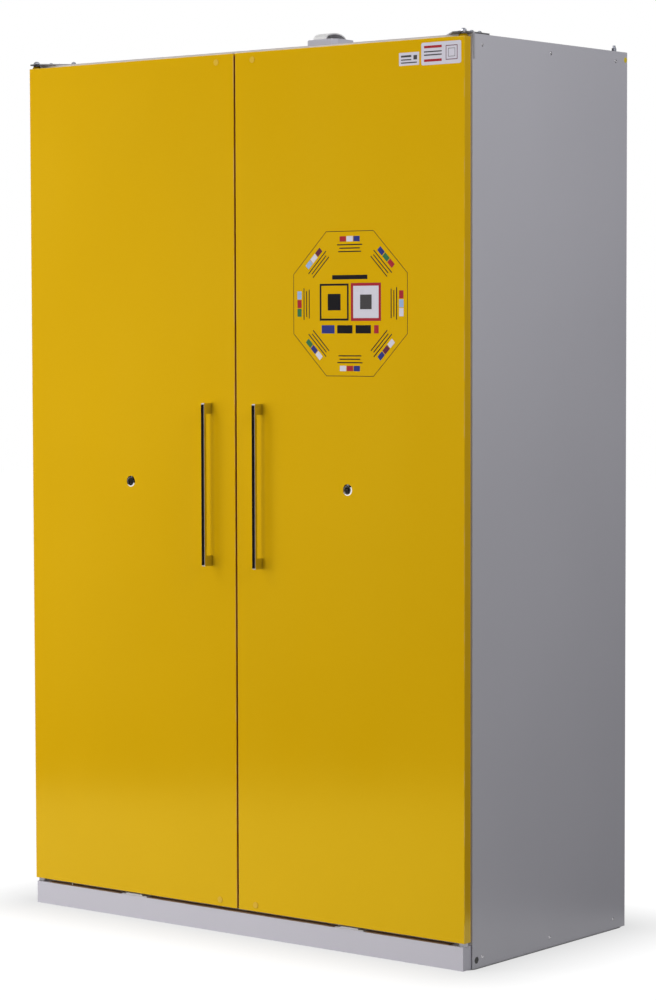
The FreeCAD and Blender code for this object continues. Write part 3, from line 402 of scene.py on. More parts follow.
def plated(name, colour, roughness, brushed=(1, 1, 1), scratch=0.01, crystal=0.0):
    """Bare or plated metal. scratch is the relief's depth in millimetres."""
    made, tree, shader = bare_finish(name, Metallic=1.0)
    cloudy = stretched(tree, grain(tree, 38.0, 4.0), 0.0, 1.0)
    tone = blended(tree, cloudy, shaded(colour, 0.92), shaded(colour, 1.05))
    marks = grain(tree, 260.0, 5.0, brushed)
    dull = stretched(tree, marks, roughness * 0.8, roughness * 1.25)
    if crystal:
        cells, place = node(tree, "TexVoronoi", Scale=95.0), node(tree, "TexCoord")
        tree.links.new(place.outputs["Object"], cells.inputs["Vector"])
        grey = node(tree, "SeparateColor")
        tree.links.new(cells.outputs["Color"], grey.inputs[0])
        tone = blended(tree, product(tree, grey.outputs[0], crystal), tone, shaded(colour, 0.62))
        dull = stretched(tree, grey.outputs[1], roughness * 0.8, roughness * 1.3, 0.0, 1.0)
    tree.links.new(tone, shader.inputs["Base Color"])
    tree.links.new(dull, shader.inputs["Roughness"])
    relief(tree, shader, (marks, scratch))
    return made


metals = {
    "zinc_steel": plated("zinc_steel", (0.38, 0.375, 0.39), 0.40, scratch=0.02),
    "fastener_zinc": plated("fastener_zinc", (0.33, 0.34, 0.385), 0.30),
    "galvanised": plated("galvanised", (0.60, 0.61, 0.62), 0.38, crystal=0.6),
    "rod_steel": plated("rod_steel", (0.56, 0.55, 0.54), 0.3, (1, 1, 0.03), 0.012),
    "handle_chrome": plated("handle_chrome", (0.62, 0.60, 0.63), 0.075, (1, 1, 0.1), 0.0015),
    "lock_chrome": plated("lock_chrome", (0.78, 0.77, 0.77), 0.12, scratch=0.003),
    "lock_core": plated("lock_core", (0.63, 0.60, 0.54), 0.27, (1, 1, 0.2), 0.006),
}
finish.update(metals)
print("metals:", list(metals))

# %% [markdown]
# ## Board, lining, seals and plastic
# The walls are gypsum fire board in a grey paper, faced inside with white laminate. Brown strips
# that swell in a fire line the frame, and black rubber rings the door plugs. The outlet and the
# feet are moulded plastic, which is slightly translucent at its skin, though not in this finish,
# and has a fine mould grain.

# %% Dull finishes


def dull_skin(
    name, colour, roughness, lumps, depth, drawn=(1, 1, 1), gloss=0.5, fleck=0.9, cloud=0.045
):
    """Board, rubber or plastic: lumps to the metre, and their depth in millimetres."""
    made, tree, shader = bare_finish(name, Specular_IOR_Level=gloss)
    fine, broad = grain(tree, lumps, 6.0, drawn), grain(tree, 11.0, 4.0)
    dark, light = shaded(colour, 1 - cloud), shaded(colour, 1 + cloud)
    tone = blended(tree, stretched(tree, broad, 0.0, 1.0), dark, light)
    tone = blended(tree, stretched(tree, fine, 0.0, 0.6), tone, shaded(colour, fleck))
    tree.links.new(tone, shader.inputs["Base Color"])
    rubbed = stretched(tree, fine, roughness * 0.85, min(1.0, roughness * 1.15))
    tree.links.new(rubbed, shader.inputs["Roughness"])
    relief(tree, shader, (broad, depth * 2), (fine, depth))
    return made


finish.update({
    "fire_board": dull_skin(
        "fire_board", (0.50, 0.46, 0.41), 0.85, 420.0, 0.06, (1, 1, 0.35), 0.3, 0.72
    ),
    "lining_white": dull_skin(
        "lining_white", (0.76, 0.76, 0.75), 0.42, 700.0, 0.004, fleck=0.96, cloud=0.012
    ),
    "seal_brown": dull_skin(
        "seal_brown", (0.22, 0.125, 0.055), 0.6, 300.0, 0.05, (1, 1, 0.2), 0.4, 0.6
    ),
    "seal_black": dull_skin(
        "seal_black", (0.022, 0.021, 0.022), 0.5, 350.0, 0.03, (1, 1, 0.15), 0.5, 1.6
    ),
    "outlet_plastic": dull_skin(
        "outlet_plastic", (0.54, 0.53, 0.585), 0.45, 900.0, 0.01, fleck=0.95
    ),
    "foot_plastic": dull_skin(
        "foot_plastic", (0.03, 0.03, 0.032), 0.45, 800.0, 0.015, fleck=1.5
    ),
})
for name, carried in nodes.items():
    for used in carried.material_slots:
        used.material = finish[slot_of[name]]
print(f"{len(nodes)} carried pieces have their finish")

# %% [markdown]
# ## Shaping pieces
# A crisp computer edge gives itself away because no real edge is perfectly sharp: steel folds
# round a radius, and castings and mouldings are broken by a fraction of a millimetre. The bevel
# operator rounds them, and its new faces are marked as folds for the paint to wear. Parts that
# are already the right shape are copied from the engineering model first, and merged, because
# such a mesh comes as loose triangles.

# %% Modelling helpers


def block(bm, low, high):
    """A box between two corners, in millimetres."""
    size = [(h - l) * MM for l, h in zip(low, high)]
    middle = Vector([(h + l) / 2 * MM for l, h in zip(low, high)])
    stand = Matrix.Translation(middle) @ Matrix.Diagonal((*size, 1))
    bmesh.ops.create_cube(bm, size=1.0, matrix=stand)


def hard_edges(bm, least_turn=30.0):
    """Edges between two faces that meet at more than this angle, in degrees."""
    limit = math.radians(least_turn)
    return [e for e in bm.edges if len(e.link_faces) == 2 and e.calc_face_angle(0.0) > limit]


def round_over(bm, edges, radius, segments=2):
    """Bevels edges to a radius in millimetres, and marks the new faces as folds."""
    floats = bm.faces.layers.float
    fold = floats.get("fold") or floats.new("fold")
    made = bmesh.ops.bevel(
        bm, geom=edges, offset=radius * MM, segments=segments, profile=0.5, affect="EDGES",
        material=-1, clamp_overlap=True,
    )
    for face in made["faces"]:
        face[fold] = 1.0


def cut_flat(bm, place, facing, clear_outer=False):
    """Cuts the mesh along a plane through a place in metres, and can drop what lies past it."""
    bmesh.ops.bisect_plane(
        bm, geom=bm.verts[:] + bm.edges[:] + bm.faces[:], plane_co=place, plane_no=facing,
        clear_outer=clear_outer,
    )


def mirrored(point, like):
    """A point on the right side, carried over to the side that another point lies on."""
    return Vector((math.copysign(point.x, like), point.y))


def from_model(name):
    """A merged copy of a carried piece's mesh, with its flat faces made whole again."""
    bm = bmesh.new()
    bm.from_mesh(nodes[name].data)
    bmesh.ops.remove_doubles(bm, verts=bm.verts, dist=1e-5)
    bmesh.ops.dissolve_limit(bm, angle_limit=math.radians(0.4), verts=bm.verts, edges=bm.edges)
    return bm


def piece(name, bm, finishes, like, stands_for=()):
    """Makes the object with the finishes given: it rides with the carried piece it is like, and hides
    the pieces it stands for.
    """
    data = bpy.data.meshes.new(name)
    bm.to_mesh(data)
    bm.free()
    for used in finishes:
        data.materials.append(used)
    data.shade_smooth()
    data.set_sharp_from_angle(angle=math.radians(35))
    made = bpy.data.objects.new(name, data)
    bpy.context.collection.objects.link(made)
    made.modifiers.new("even_shading", "WEIGHTED_NORMAL").keep_sharp = True
    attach(made, body_of[like])
    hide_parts(*stands_for)
    print(f"{name}: {len(data.polygons)} faces on {body_of[like]}")
    return made


def eased(name, radius, segments=2, least_turn=30.0):
    """A carried piece with its hard edges rounded, in place of the carried one."""
    bm = from_model(name)
    round_over(bm, hard_edges(bm, least_turn), radius, segments)
    return piece(f"{name}_eased", bm, [finish[slot_of[name]]], name, [name])


print("modelling helpers ready")

# %% [markdown]
# ## The doors
# Each door is a shallow steel tray, 24 mm deep, folded from one sheet round a fire-board core. Its
# outer fold has a radius of about a sheet and a half, and it is that small curve which draws the
# pale line down the door's edge. A raised boss at each pivot comes from the same sheet, and it
# is drawn in at its top, as a pressing is. The edges that meet in the middle are moved a little
# apart, which leaves room for the heat strips on them.

# %% Door skins
SHEET = 1.2
DOOR_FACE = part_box("door_core_right")[0].y / MM - SHEET
print("door face at", round(DOOR_FACE, 2), "mm")


def on_box(edge, low, high, reach=1e-4):
    """True where an edge lies along one of a box's twelve edges."""
    flats = 0
    for axis in range(3):
        for side in (low[axis], high[axis]):
            flats += all(abs(v.co[axis] - side) < reach for v in edge.verts)
    return flats >= 2


PIVOT = Vector((588.5, -270.0)) * MM
MEETING, TOP_LIFT, BOSS_TOP = 2.4, 0.8, 0.68
FOLD_RADIUS, FOLD_STEPS = 1.9, 4
# A slant runs down each door's outer rear edge. It starts on the side and ends on the back, and
# is made smaller here. Millimetres: where it starts and ends in the model, and where it does now.
SLANT_STARTS_Y, SLANT_ENDS = -264.0, (594.0, -258.0)
SLANT_Y_HERE, SLANT_X_HERE, NEAR = -260.3, 597.7, 0.3
for side in ("left", "right"):
    skin = from_model(f"door_skin_{side}")
    low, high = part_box(f"door_skin_{side}")
    high.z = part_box(f"door_core_{side}")[1].z + SHEET * MM
    pivot = mirrored(PIVOT, low.x + high.x)
    inner = math.copysign(MEETING * MM, low.x + high.x)
    for v in skin.verts:
        if abs(v.co.x) < 1.8 * MM:
            v.co.x = inner
    low.x, high.x = (inner, high.x) if side == "right" else (low.x, inner)
    for v in skin.verts:
        if v.co.z > high.z + 0.5 * MM:
            v.co.xy = pivot + (v.co.xy - pivot) * BOSS_TOP
        elif v.co.z > high.z - 0.1 * MM:
            v.co.z += TOP_LIFT * MM
    high.z += TOP_LIFT * MM
    for v in skin.verts:
        x, y = abs(v.co.x) / MM, v.co.y / MM
        if x > HALF_WIDTH - 0.5 and abs(y - SLANT_STARTS_Y) < NEAR:
            v.co.y = SLANT_Y_HERE * MM
        elif abs(x - SLANT_ENDS[0]) < NEAR and abs(y - SLANT_ENDS[1]) < NEAR:
            v.co.x = math.copysign(SLANT_X_HERE * MM, v.co.x)
    outer = [e for e in skin.edges if on_box(e, low, high)]
    slanted = [
        e for e in hard_edges(skin)
        if e not in outer and (e.verts[0].co - e.verts[1].co).length > 1.0
        and all(
            abs(abs(v.co.x) - HALF_WIDTH * MM) < 7 * MM and v.co.y > (SLANT_STARTS_Y - 1.0) * MM
            for v in e.verts
        )
    ]
    folds = [e for e in outer + slanted if len(e.link_faces) == 2]
    round_over(skin, folds, FOLD_RADIUS, FOLD_STEPS)
    skin_name = f"door_skin_{side}"
    piece(f"door_sheet_{side}", skin, [finish["door_yellow"]], skin_name, [skin_name])

# %% [markdown]
# ## Handles
# A pull handle is a flat chromed bar on two short legs. It could be bent from one strip, but the
# corners of this one are square, so it is cut from a bar: two cuts mark off the legs, and their
# back faces are drawn out to the door. The bar's two ends are chamfered in front, where they show
# as bright tips, and every edge is then polished round.

# %% Pull handles
BAR_THICK, LEG_LENGTH, TIP_CHAMFER, BAR_ROUNDING = 8.0, 23.0, 2.6, 1.1
for side in ("left", "right"):
    low, high = (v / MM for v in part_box(f"handle_{side}"))
    leg_ends = (low.z + LEG_LENGTH, high.z - LEG_LENGTH)
    pull = bmesh.new()
    block(pull, low, (high.x, low.y + BAR_THICK, high.z))
    for cut in leg_ends:
        cut_flat(pull, (0, 0, cut * MM), (0, 0, 1))
    legs = [
        f for f in pull.faces
        if f.normal.y > 0.9 and not leg_ends[0] < f.calc_center_median().z / MM < leg_ends[1]
    ]
    for leg in legs:
        drawn = bmesh.ops.extrude_discrete_faces(pull, faces=[leg])["faces"]
        to_door = (0, (high.y - low.y - BAR_THICK) * MM, 0)
        bmesh.ops.translate(pull, verts=drawn[0].verts[:], vec=to_door)

    def at_tip(v):
        """True for a corner of the bar's front at either end."""
        in_front = v.co.y / MM < low.y + 0.01
        return in_front and not low.z + 0.01 < v.co.z / MM < high.z - 0.01

    tips = [
        e for e in pull.edges
        if all(at_tip(v) for v in e.verts) and abs(e.verts[0].co.z - e.verts[1].co.z) < MM
    ]
    round_over(pull, tips, TIP_CHAMFER, 1)
    round_over(pull, hard_edges(pull, 50.0), BAR_ROUNDING, 3)
    piece(f"pull_{side}", pull, [finish["handle_chrome"]], f"handle_{side}", [f"handle_{side}"])

# %% [markdown]
# ## Small hardware
# Lock cores, door plugs, lower hinges, keepers and feet are turned, pressed or moulded. They have
# the right shape already, so their edges are eased and nothing else.

# %% Hardware with broken edges
for name, (radius, segments) in {
    "bottom_hinge": (0.3, 1), "lock_cylinder": (0.25, 2), "door_caps": (0.35, 2)
}.items():
    for side in ("left", "right"):
        eased(f"{name}_{side}", radius, segments)
for name, radius in (("levelling_feet", 0.8), ("strike_plates", 0.4)):
    eased(name, radius)

# %% [markdown]
# ## Earth stud
# A stud with a nut stands at the roof's rear corner, ready for an earthing cable. Its nut is made
# slimmer and taller than in the model, its washer smaller, and its tip is turned down to a taper.

# %% Earth stud
TIP, NUT, WASHER, NUT_RISE = 0.66, 0.80, 0.72, 2.0
stud = from_model("earth_stud")
low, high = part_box("earth_stud")
axis = (low + high) / 2
for v in stud.verts:
    away = v.co.xy - axis.xy
    if v.co.z > high.z - 0.1 * MM:
        v.co.xy = axis.xy + away * TIP
    elif away.length > 4.1 * MM:
        v.co.xy = axis.xy + away * (WASHER if away.length > 8 * MM else NUT)
    if low.z + 3 * MM < v.co.z < high.z - 3 * MM:
        v.co.z += NUT_RISE * MM
round_over(stud, hard_edges(stud), 0.3)
piece("earth_stud_eased", stud, [finish[slot_of["earth_stud"]]], "earth_stud", ["earth_stud"])

# %% [markdown]
# ## Hinge plates
# The plates over the pivots are cut from 3 mm steel, with broken edges. A painted lug hangs from
# each, down the side panel's front edge, and is narrowed here from its front. Its grey is darker
# than the side panel's paint, which is painted shade for the dark line along that edge.

# %% Hinge plates
PLATE_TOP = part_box("hinge_plate_right")[1].z
LUG_WIDTH, LUG_TOP = 4.4 * MM, PLATE_TOP - 5 * MM
# The lug's darker grey is painted shade.
lug_grey_painted_shade = powder_coat("lug_grey_painted_shade", (0.38, 0.37, 0.395), 0.4)
for side in ("left", "right"):
    name = f"hinge_plate_{side}"
    plate = from_model(name)
    lug = [v for v in plate.verts if v.co.z < LUG_TOP]
    front, back = (pick(v.co.y for v in lug) for pick in (min, max))
    for v in lug:
        if v.co.y < front + 0.1 * MM:
            v.co.y = back - LUG_WIDTH
    for face in plate.faces:
        face.material_index = int(any(v.co.z < LUG_TOP for v in face.verts))
    round_over(plate, hard_edges(plate), 0.5)
    piece(f"{name}_eased", plate, [finish["zinc_steel"], lug_grey_painted_shade], name, [name])

# %% [markdown]
# ## On the hinge plates
# Each plate carries the pivot's nut and three domed screws. The nut is a little slimmer and lower
# than in the model. The domes are taller, and a square root gives them steep rims.

# %% Pivot nuts and screws
HEAD_HEIGHT, NUT_ACROSS, NUT_UP, NUT_REACH = 5.8, 0.80, 0.75, 9.5


def at_pivot(v):
    """True for a vertex of a pivot's nut, and not of a screw."""
    return (v.co.xy - mirrored(PIVOT, v.co.x)).length < NUT_REACH * MM


tops = from_model("hinge_fasteners")
dome_height = max(v.co.z - PLATE_TOP for v in tops.verts if not at_pivot(v))
print("screw domes stand", round(dome_height / MM, 2), "mm, and here", HEAD_HEIGHT, "mm")
for v in tops.verts:
    above = v.co.z - PLATE_TOP
    if above > 0.01 * MM and at_pivot(v):
        centre = mirrored(PIVOT, v.co.x)
        v.co.xy = centre + (v.co.xy - centre) * NUT_ACROSS
        v.co.z = PLATE_TOP + above * NUT_UP
    elif above > 0.01 * MM:
        v.co.z = PLATE_TOP + HEAD_HEIGHT * MM * math.sqrt(above / dome_height)
round_over(tops, hard_edges(tops), 0.35)
zinc = [finish["fastener_zinc"]]
piece("hinge_fasteners_eased", tops, zinc, "hinge_fasteners", ["hinge_fasteners"])

# %% [markdown]
# ## Side screws
# Twelve low round heads hold the side panels to the frame behind them. Each has a round
# socket. A head starts as a truncated cone, its rim is rounded, and its middle is inset and pushed
# in for the socket.

# %% Panel screws


def loose_boxes(name):
    """The box of each separate solid in a carried piece, in metres."""
    bm = from_model(name)
    met, found = set(), []
    for start in bm.verts:
        if start in met:
            continue
        met.add(start)
        spots, to_visit = [], [start]
        while to_visit:
            vert = to_visit.pop()
            spots.append(vert.co.copy())
            for near in (e.other_vert(vert) for e in vert.link_edges):
                if near not in met:
                    met.add(near)
                    to_visit.append(near)
        found.append([Vector([pick(s[i] for s in spots) for i in range(3)]) for pick in (min, max)])
    bm.free()
    return found


def screw_head(bm, foot, outward, radius, height, socket):
    """A round head standing on a point, facing along outward. Sizes are in millimetres."""
    crown, rounding, sides = radius * 0.72, height * 0.45, 30
    turn = outward.to_track_quat("Z", "Y").to_matrix().to_4x4()
    stand = Matrix.Translation(foot) @ turn @ Matrix.Translation((0, 0, height / 2 * MM))
    made = bmesh.ops.create_cone(
        bm, cap_ends=True, segments=sides, radius1=radius * MM, radius2=crown * MM,
        depth=height * MM, matrix=stand,
    )
    faces = {f for v in made["verts"] for f in v.link_faces}
    top = max(faces, key=lambda f: f.calc_center_median().dot(outward))
    round_over(bm, top.edges[:], rounding, 2)
    caps = [f for f in bm.faces if len(f.verts) == sides and f.normal.dot(outward) > 0.9]
    top = min(caps, key=lambda f: (f.calc_center_median() - foot).length)
    inset = max(0.05, crown - rounding - socket)
    bmesh.ops.inset_region(bm, faces=[top], thickness=inset * MM)
    bmesh.ops.translate(bm, verts=top.verts[:], vec=-outward * height * 0.6 * MM)


heads = bmesh.new()
for low, high in loose_boxes("panel_screws"):
    outward = Vector((math.copysign(1, low.x), 0, 0))
    middle = (low + high) / 2
    foot = Vector((math.copysign(HALF_WIDTH * MM, middle.x), middle.y, middle.z))
    screw_head(heads, foot, outward, radius=3.7, height=1.4, socket=1.3)
screw_zinc = plated("screw_zinc", (0.52, 0.515, 0.53), 0.42)
piece("panel_screw_heads", heads, [screw_zinc], "panel_screws", ["panel_screws"])

# %% [markdown]
# ## The shell
# The side panels are thin sheets. Their front edge is joggled: a strip 16 mm wide leans in by less
# than a millimetre to meet the frame, and it catches a little more light than the flat behind it.
# One cut marks the strip and the front edge is moved in. The plinth is a folded channel.

# %% Side panels and plinth
STRIP, LEAN = 16.0, 0.7
for side, sign in (("left", -1), ("right", 1)):
    name = f"side_panel_{side}"
    panel = from_model(name)
    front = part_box(name)[0].y
    cut_flat(panel, (0, front + STRIP * MM, 0), (0, 1, 0))
    for v in panel.verts:
        if v.co.y < front + 0.1 * MM:
            v.co.x -= sign * LEAN * MM
    round_over(panel, hard_edges(panel, 60), 0.45, 2)
    piece(f"{name}_joggled", panel, [finish["shell_grey"]], name, [name])
eased("plinth", 1.2, 3, 60)

# %% [markdown]
# ## Heat strips
# Thin brown strips that swell in a fire are glued where smoke could pass: one along the sill
# under the doors, broken at the keepers and pivots, and one on each door's meeting edge. They are
# plain ribbons with broken edges, under a millimetre and a half thick. A slim steel pin stands
# on the sill below the left door.

# %% Sill and meeting strips
sill = bmesh.new()
sill_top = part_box("plinth")[1].z / MM
for x0, x1 in ((-560, -345), (-259, 259), (345, 560)):
    block(sill, (x0, DOOR_FACE + 1.2, sill_top + 0.02), (x1, DOOR_FACE + 20.0, sill_top + 1.5))
round_over(sill, hard_edges(sill), 0.3, 1)
piece("sill_strip", sill, [finish["seal_brown"]], "frame_seal")
PIN_X, PIN_SET_BACK, PIN_RADIUS, PIN_BELOW_CORE = -491.0, 4.0, 1.1, 1.6
pin = bmesh.new()
pin_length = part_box("door_core_left")[0].z / MM - PIN_BELOW_CORE - sill_top
pin_middle = Vector((PIN_X, DOOR_FACE + PIN_SET_BACK, sill_top + 0.02 + pin_length / 2))
bmesh.ops.create_cone(
    pin, cap_ends=True, segments=20, radius1=PIN_RADIUS * MM, radius2=PIN_RADIUS * MM,
    depth=pin_length * MM, matrix=Matrix.Translation(pin_middle * MM),
)
round_over(pin, hard_edges(pin), 0.2, 2)
piece("sill_pin", pin, [finish["rod_steel"]], "frame_seal")
seal_red = dull_skin("seal_red", (0.34, 0.10, 0.03), 0.6, 300.0, 0.05, (1, 1, 0.2), 0.3, 0.7)
for side, sign in (("left", -1), ("right", 1)):
    low, high = (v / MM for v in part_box(f"door_core_{side}"))
    ribbon = bmesh.new()
    x0, x1 = sorted((sign * (MEETING - 0.75), sign * (MEETING - 0.02)))
    block(ribbon, (x0, DOOR_FACE + 1.3, low.z + 4.0), (x1, DOOR_FACE + 20.0, high.z - 4.0))
    round_over(ribbon, hard_edges(ribbon), 0.15, 1)
    piece(f"meeting_strip_{side}", ribbon, [seal_red], f"door_seal_{side}")

# %% [markdown]
# ## The outlet
# The outlet on the roof is a pale moulded box with slanted corners, under a low arched hood that is
# open on its right. The box is a block with its four uprights bevelled flat. The hood starts as a
# full drum lying down, which is pressed to the right height, cut in half, emptied through its open
# end and given a wall. Mouldings have generous roundings, because sharp corners crack. The hood's
# inside faces are coloured near black, which is painted shade.

# %% Roof outlet
low, high = (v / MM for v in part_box("exhaust_outlet"))
BOX_LONGER, BOX_TALLER, CORNER_CUT = 6.0, 0.3, 9.0
low.x -= BOX_LONGER
box_top = high.z + BOX_TALLER
outlet = bmesh.new()
block(outlet, low, (high.x, high.y, box_top))
uprights = [e for e in outlet.edges if abs(e.verts[0].co.z - e.verts[1].co.z) > 10 * MM]
bmesh.ops.bevel(
    outlet, geom=uprights, offset=CORNER_CUT * MM, segments=1, profile=0.5, affect="EDGES",
    material=-1,
)
rims = [e for e in hard_edges(outlet, 30) if max(v.co.z for v in e.verts) > (box_top - 0.1) * MM]
round_over(outlet, rims, 1.4, 3)

hood_low, hood_high = (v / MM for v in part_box("exhaust_cowl"))
hood_low.x, hood_high.x = hood_low.x + 2.0, hood_high.x - 6.0
HOOD_RISE, HOOD_WALL, HOOD_NARROWER, HOOD_SUNK = 13.0, 2.6, 3.0, 0.5
hood_length = hood_high.x - hood_low.x
half_width = (hood_high.y - hood_low.y) / 2 - HOOD_NARROWER
middle = (hood_low + hood_high) / 2 * MM
middle.z = (box_top - HOOD_SUNK) * MM
pressed = Matrix.Diagonal((1, 1, HOOD_RISE / half_width, 1))
lying = Matrix.Rotation(math.radians(90), 4, "Y")
hood = bmesh.new()
bmesh.ops.create_cone(
    hood, cap_ends=True, segments=64, radius1=half_width * MM, radius2=half_width * MM,
    depth=hood_length * MM, matrix=Matrix.Translation(middle) @ pressed @ lying,
)
cut_flat(hood, middle, (0, 0, -1), clear_outer=True)
bmesh.ops.delete(hood, geom=[f for f in hood.faces if f.normal.x > 0.9], context="FACES")
bmesh.ops.recalc_face_normals(hood, faces=hood.faces[:])
if max(hood.faces, key=lambda f: f.calc_center_median().z).normal.z < 0:
    bmesh.ops.reverse_faces(hood, faces=hood.faces[:])
bmesh.ops.solidify(hood, geom=hood.faces[:], thickness=-HOOD_WALL * MM)
# Faces inside the hood, past its closed end, take a near-black plastic, which is painted shade.
for face in hood.faces:
    spot = face.calc_center_median() - middle
    from_axis = math.hypot(spot.y / half_width, spot.z / HOOD_RISE) / MM
    past_closed_end = spot.x / MM > 1.0 - hood_length / 2
    face.material_index = 1 if from_axis < 0.90 and past_closed_end else 2
round_over(hood, hard_edges(hood, 50), 0.5, 2)
hood_mesh = bpy.data.meshes.new("hood")
hood.to_mesh(hood_mesh)
hood.free()
outlet.from_mesh(hood_mesh)
bpy.data.meshes.remove(hood_mesh)
hood_plastic = dull_skin("hood_plastic", (0.74, 0.73, 0.72), 0.35, 900.0, 0.01, fleck=0.95)
hood_inside_painted_shade = dull_skin("outlet_inside_painted_shade", (0.10, 0.095, 0.105), 0.6, 900.0, 0.01, fleck=0.95)
outlet_finishes = [finish["outlet_plastic"], hood_inside_painted_shade, hood_plastic]
both = ["exhaust_outlet", "exhaust_cowl"]
piece("outlet_box", outlet, outlet_finishes, "exhaust_outlet", both)

# %% [markdown]
# ## Lock rims
# Each lock shows a turned rim round its core. The rim's outer corner is drawn in to a cone, which
# lets some part of it always catch a light, and its corners are then broken.

# %% Turned lock rims
RIM_CORNER, DRAWN_IN = 11.0, 0.80
for side in ("left", "right"):
    case = from_model(f"lock_case_{side}")
    low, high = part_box(f"lock_cylinder_{side}")
    axis = Vector(((low.x + high.x) / 2, 0, (low.z + high.z) / 2))
    for v in case.verts:
        if v.co.y < (DOOR_FACE - 0.2) * MM:
            out_from = Vector((v.co.x - axis.x, v.co.z - axis.z))
            if out_from.length > RIM_CORNER * MM:
                v.co.x, v.co.z = axis.x + out_from.x * DRAWN_IN, axis.z + out_from.y * DRAWN_IN
    round_over(case, hard_edges(case), 0.3, 2)
    case_name = f"lock_case_{side}"
    piece(f"lock_rim_{side}", case, [finish["lock_chrome"]], case_name, [case_name])

# %% [markdown]
# ## Inside the cabinet
# Shelves, the spill tray and its grating are folded sheet, seen when the doors stand open. Their
# edges are eased, with small radii on the grating and the clips, so that their thin webs keep
# their shape. The doors' inner trays and seals are eased the same way.

# %% Shelves, tray and linings
inside_pieces = {
    "shelf_low": 1.0, "shelf_middle": 1.0, "shelf_high": 1.0, "sump_tray": 1.0,
    "sump_grating": 0.35, "shelf_clips": 0.35, "door_liner_left": 0.8, "door_liner_right": 0.8,
    "door_seal_left": 1.2, "door_seal_right": 1.2,
}
for name, radius in inside_pieces.items():
    eased(name, radius, 2, 60)

# %% [markdown]
# ## Labels
# The door carries printed film. Its prints are left generic: an eight-sided outline round plain
# tiles and bars, and two white plates with plain grey bars. Film is a tenth of a millimetre thick,
# so each shape is a flat outline drawn out by a hair, and the ink is one layer above the film.

# %% Printed film recipe


def film(name, colour):
    """Ink of one colour on printed film."""
    made, tree, shader = bare_finish(name, Specular_IOR_Level=0.3)
    fine = grain(tree, 900.0, 3.0)
    spread = stretched(tree, fine, 0.0, 1.0)
    tone = blended(tree, spread, shaded(colour, 0.94), shaded(colour, 1.03))
    tree.links.new(tone, shader.inputs["Base Color"])
    tree.links.new(stretched(tree, grain(tree, 25.0, 3.0), 0.27, 0.4), shader.inputs["Roughness"])
    relief(tree, shader, (fine, 0.004))
    return made


inks = {
    "white": (0.60, 0.58, 0.65), "black": (0.012, 0.011, 0.013),
    "grey": (0.06, 0.056, 0.058), "red": (0.36, 0.012, 0.022),
    "blue": (0.02, 0.03, 0.20), "green": (0.03, 0.16, 0.06),
    "sky": (0.28, 0.40, 0.62), "plum": (0.12, 0.02, 0.05),
}
films = {name: film(f"film_{name}", colour) for name, colour in inks.items()}
print("inks:", list(films))

# %% Flat shapes facing the front


def flat_shape(bm, centre, size, lift, ink, turn=0.0, corner=0.0, sides=4, frame_width=0.0):
    """A thin plate on the door's face, in millimetres: lift is how far it stands out."""
    x, z = centre
    place = Matrix.Translation((x * MM, (DOOR_FACE - lift) * MM, z * MM))
    stand = place @ Matrix.Rotation(math.radians(turn), 4, "Y")
    stand = stand @ Matrix.Rotation(math.radians(90), 4, "X")
    if sides == 4:
        sized = stand @ Matrix.Diagonal((size[0] * MM, size[1] * MM, 1, 1))
        made = bmesh.ops.create_grid(bm, x_segments=1, y_segments=1, size=0.5, matrix=sized)
    else:
        made = bmesh.ops.create_circle(
            bm, cap_ends=True, segments=sides, radius=size[0] / 2 * MM / math.cos(math.pi / sides),
            matrix=stand @ Matrix.Rotation(math.pi / sides, 4, "Z"),
        )
    face = made["verts"][0].link_faces[0]
    if corner:
        bmesh.ops.bevel(
            bm, geom=face.verts[:], offset=corner * MM, segments=4, profile=0.5,
            affect="VERTICES", material=-1,
        )
        face = min(bm.faces, key=lambda f: (f.calc_center_median() - stand.translation).length)
    ring = [face]
    if frame_width:
        ring = bmesh.ops.inset_individual(bm, faces=[face], thickness=frame_width * MM)["faces"]
        bmesh.ops.delete(bm, geom=[face], context="FACES")
    drawn = bmesh.ops.extrude_face_region(bm, geom=ring)
    fresh = [g for g in drawn["geom"] if isinstance(g, bmesh.types.BMVert)]
    bmesh.ops.translate(bm, verts=fresh, vec=(0, FILM * MM, 0))
    for f in {f for v in fresh for f in v.link_faces} | {f for f in ring if f.is_valid}:
        f.material_index = list(films).index(ink)


FILM, ON_DOOR, ON_FILM = 0.08, 0.1, 0.2  # a film's thickness, and the lifts of two layers
print("film is", FILM, "mm thick")

# %% Eight-sided print
print_mesh = bmesh.new()
MIDDLE, ACROSS = (309.0, 1348.5), 298.5
flat_shape(print_mesh, MIDDLE, (ACROSS, ACROSS), ON_DOOR, "black", sides=8, frame_width=1.4)
tiles = ("red", "white", "blue", "green", "red", "sky", "white", "plum", "blue")
for step in range(8):
    angle = step * 45.0
    out = Vector((math.sin(math.radians(angle)), math.cos(math.radians(angle))))
    along = Vector((out.y, -out.x))
    for k in range(3):
        spot = Vector(MIDDLE) + out * 133.0 + along * (k - 1) * 18.0
        flat_shape(print_mesh, spot, (16.5, 11.0), ON_DOOR, tiles[(step * 2 + k) % 9], turn=angle)
    for k, length in enumerate((66.0, 54.0, 60.0)):
        spot = Vector(MIDDLE) + out * (121.0 - 7.0 * k)
        flat_shape(print_mesh, spot, (length, 2.3), ON_DOOR, "black", turn=angle)
flat_shape(print_mesh, (268.0, 1352.0), (76.0, 76.0), ON_DOOR, "black", frame_width=6.0)
flat_shape(print_mesh, (268.0, 1352.0), (34.0, 34.0), ON_DOOR, "black")
flat_shape(print_mesh, (351.0, 1352.0), (78.0, 78.0), ON_DOOR, "white")
flat_shape(print_mesh, (351.0, 1352.0), (78.0, 78.0), ON_FILM, "red", frame_width=8.5)
flat_shape(print_mesh, (351.0, 1352.0), (30.0, 30.0), ON_FILM, "grey")
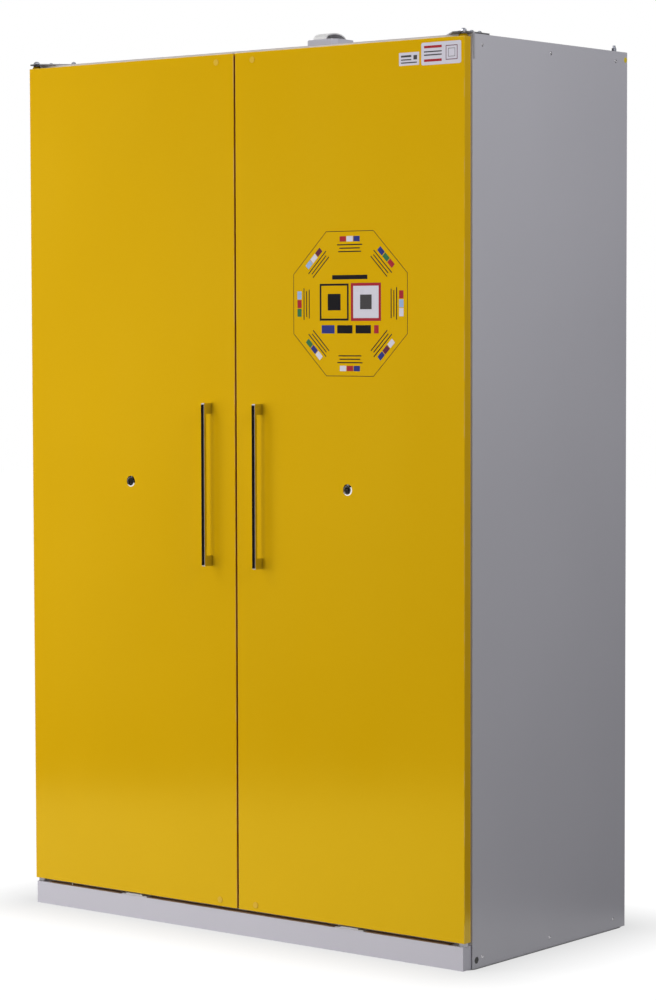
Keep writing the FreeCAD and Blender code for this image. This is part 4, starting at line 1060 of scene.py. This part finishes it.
bars = ((252.0, 34.0, "blue"), (296.0, 40.0, "black"), (344.0, 40.0, "black"), (378.0, 12.0, "red"))
for x, wide, ink in bars:
    flat_shape(print_mesh, (x, 1296.0), (wide, 17.0), ON_DOOR, ink)
flat_shape(print_mesh, (309.0, 1403.0), (92.0, 9.0), ON_DOOR, "black")
piece("door_print", print_mesh, list(films.values()), "door_skin_right")

# %% White plates
plate_mesh = bmesh.new()
plates = (((437.0, 487.5, 1826.0, 1852.0), 0.8), ((493.0, 592.0, 1824.0, 1869.0), 4.0))
for (x0, x1, z0, z1), corner in plates:
    centre, size = ((x0 + x1) / 2, (z0 + z1) / 2), (x1 - x0, z1 - z0)
    flat_shape(plate_mesh, centre, size, ON_DOOR, "white", corner=corner)
plate_bars = (
    (455.0, 1844.5, 26.0, 4.0, "grey"), (455.0, 1837.5, 26.0, 2.4, "grey"),
    (462.0, 1831.5, 40.0, 2.4, "grey"), (478.0, 1841.5, 9.0, 9.0, "grey"),
    (522.0, 1860.0, 44.0, 5.0, "red"), (522.0, 1850.5, 44.0, 2.6, "grey"),
    (522.0, 1844.0, 44.0, 2.6, "grey"), (522.0, 1833.0, 44.0, 5.0, "red"),
)
for x, z, wide, tall, ink in plate_bars:
    flat_shape(plate_mesh, (x, z), (wide, tall), ON_FILM, ink)
flat_shape(plate_mesh, (568.5, 1846.5), (29.0, 29.0), ON_FILM, "plum", frame_width=2.2)
flat_shape(plate_mesh, (568.5, 1846.5), (17.0, 17.0), ON_FILM, "grey", frame_width=1.4)
piece("door_plates", plate_mesh, list(films.values()), "door_skin_right")

# %% [markdown]
# ## Round spot on the side
# A small yellow disc of film marks the top rear of the right side. It is one circle, drawn out by
# a hair, with its rim broken.

# %% Yellow spot
spot_mesh = bmesh.new()
SPOT_AT, SPOT_RADIUS, SPOT_THICK = (HALF_WIDTH + 0.02, 302.0, 1868.0), 5.8, 0.2
turned = Matrix.Translation(Vector(SPOT_AT) * MM) @ Matrix.Rotation(math.radians(90), 4, "Y")
bmesh.ops.create_cone(
    spot_mesh, cap_ends=True, segments=40, radius1=SPOT_RADIUS * MM,
    radius2=(SPOT_RADIUS - SPOT_THICK) * MM, depth=SPOT_THICK * MM,
    matrix=turned @ Matrix.Translation((0, 0, SPOT_THICK / 2 * MM)),
)
spot_mesh.normal_update()
piece("side_spot", spot_mesh, [film("film_yellow", (0.68, 0.52, 0.02))], "side_panel_right")

# %% [markdown]
# ## Last look
# The looks may add film and rounded edges, but the cabinet keeps its size. Last, the colour view
# is set to Standard.

# %% Colour view
bpy.context.scene.view_settings.view_transform = "Standard"
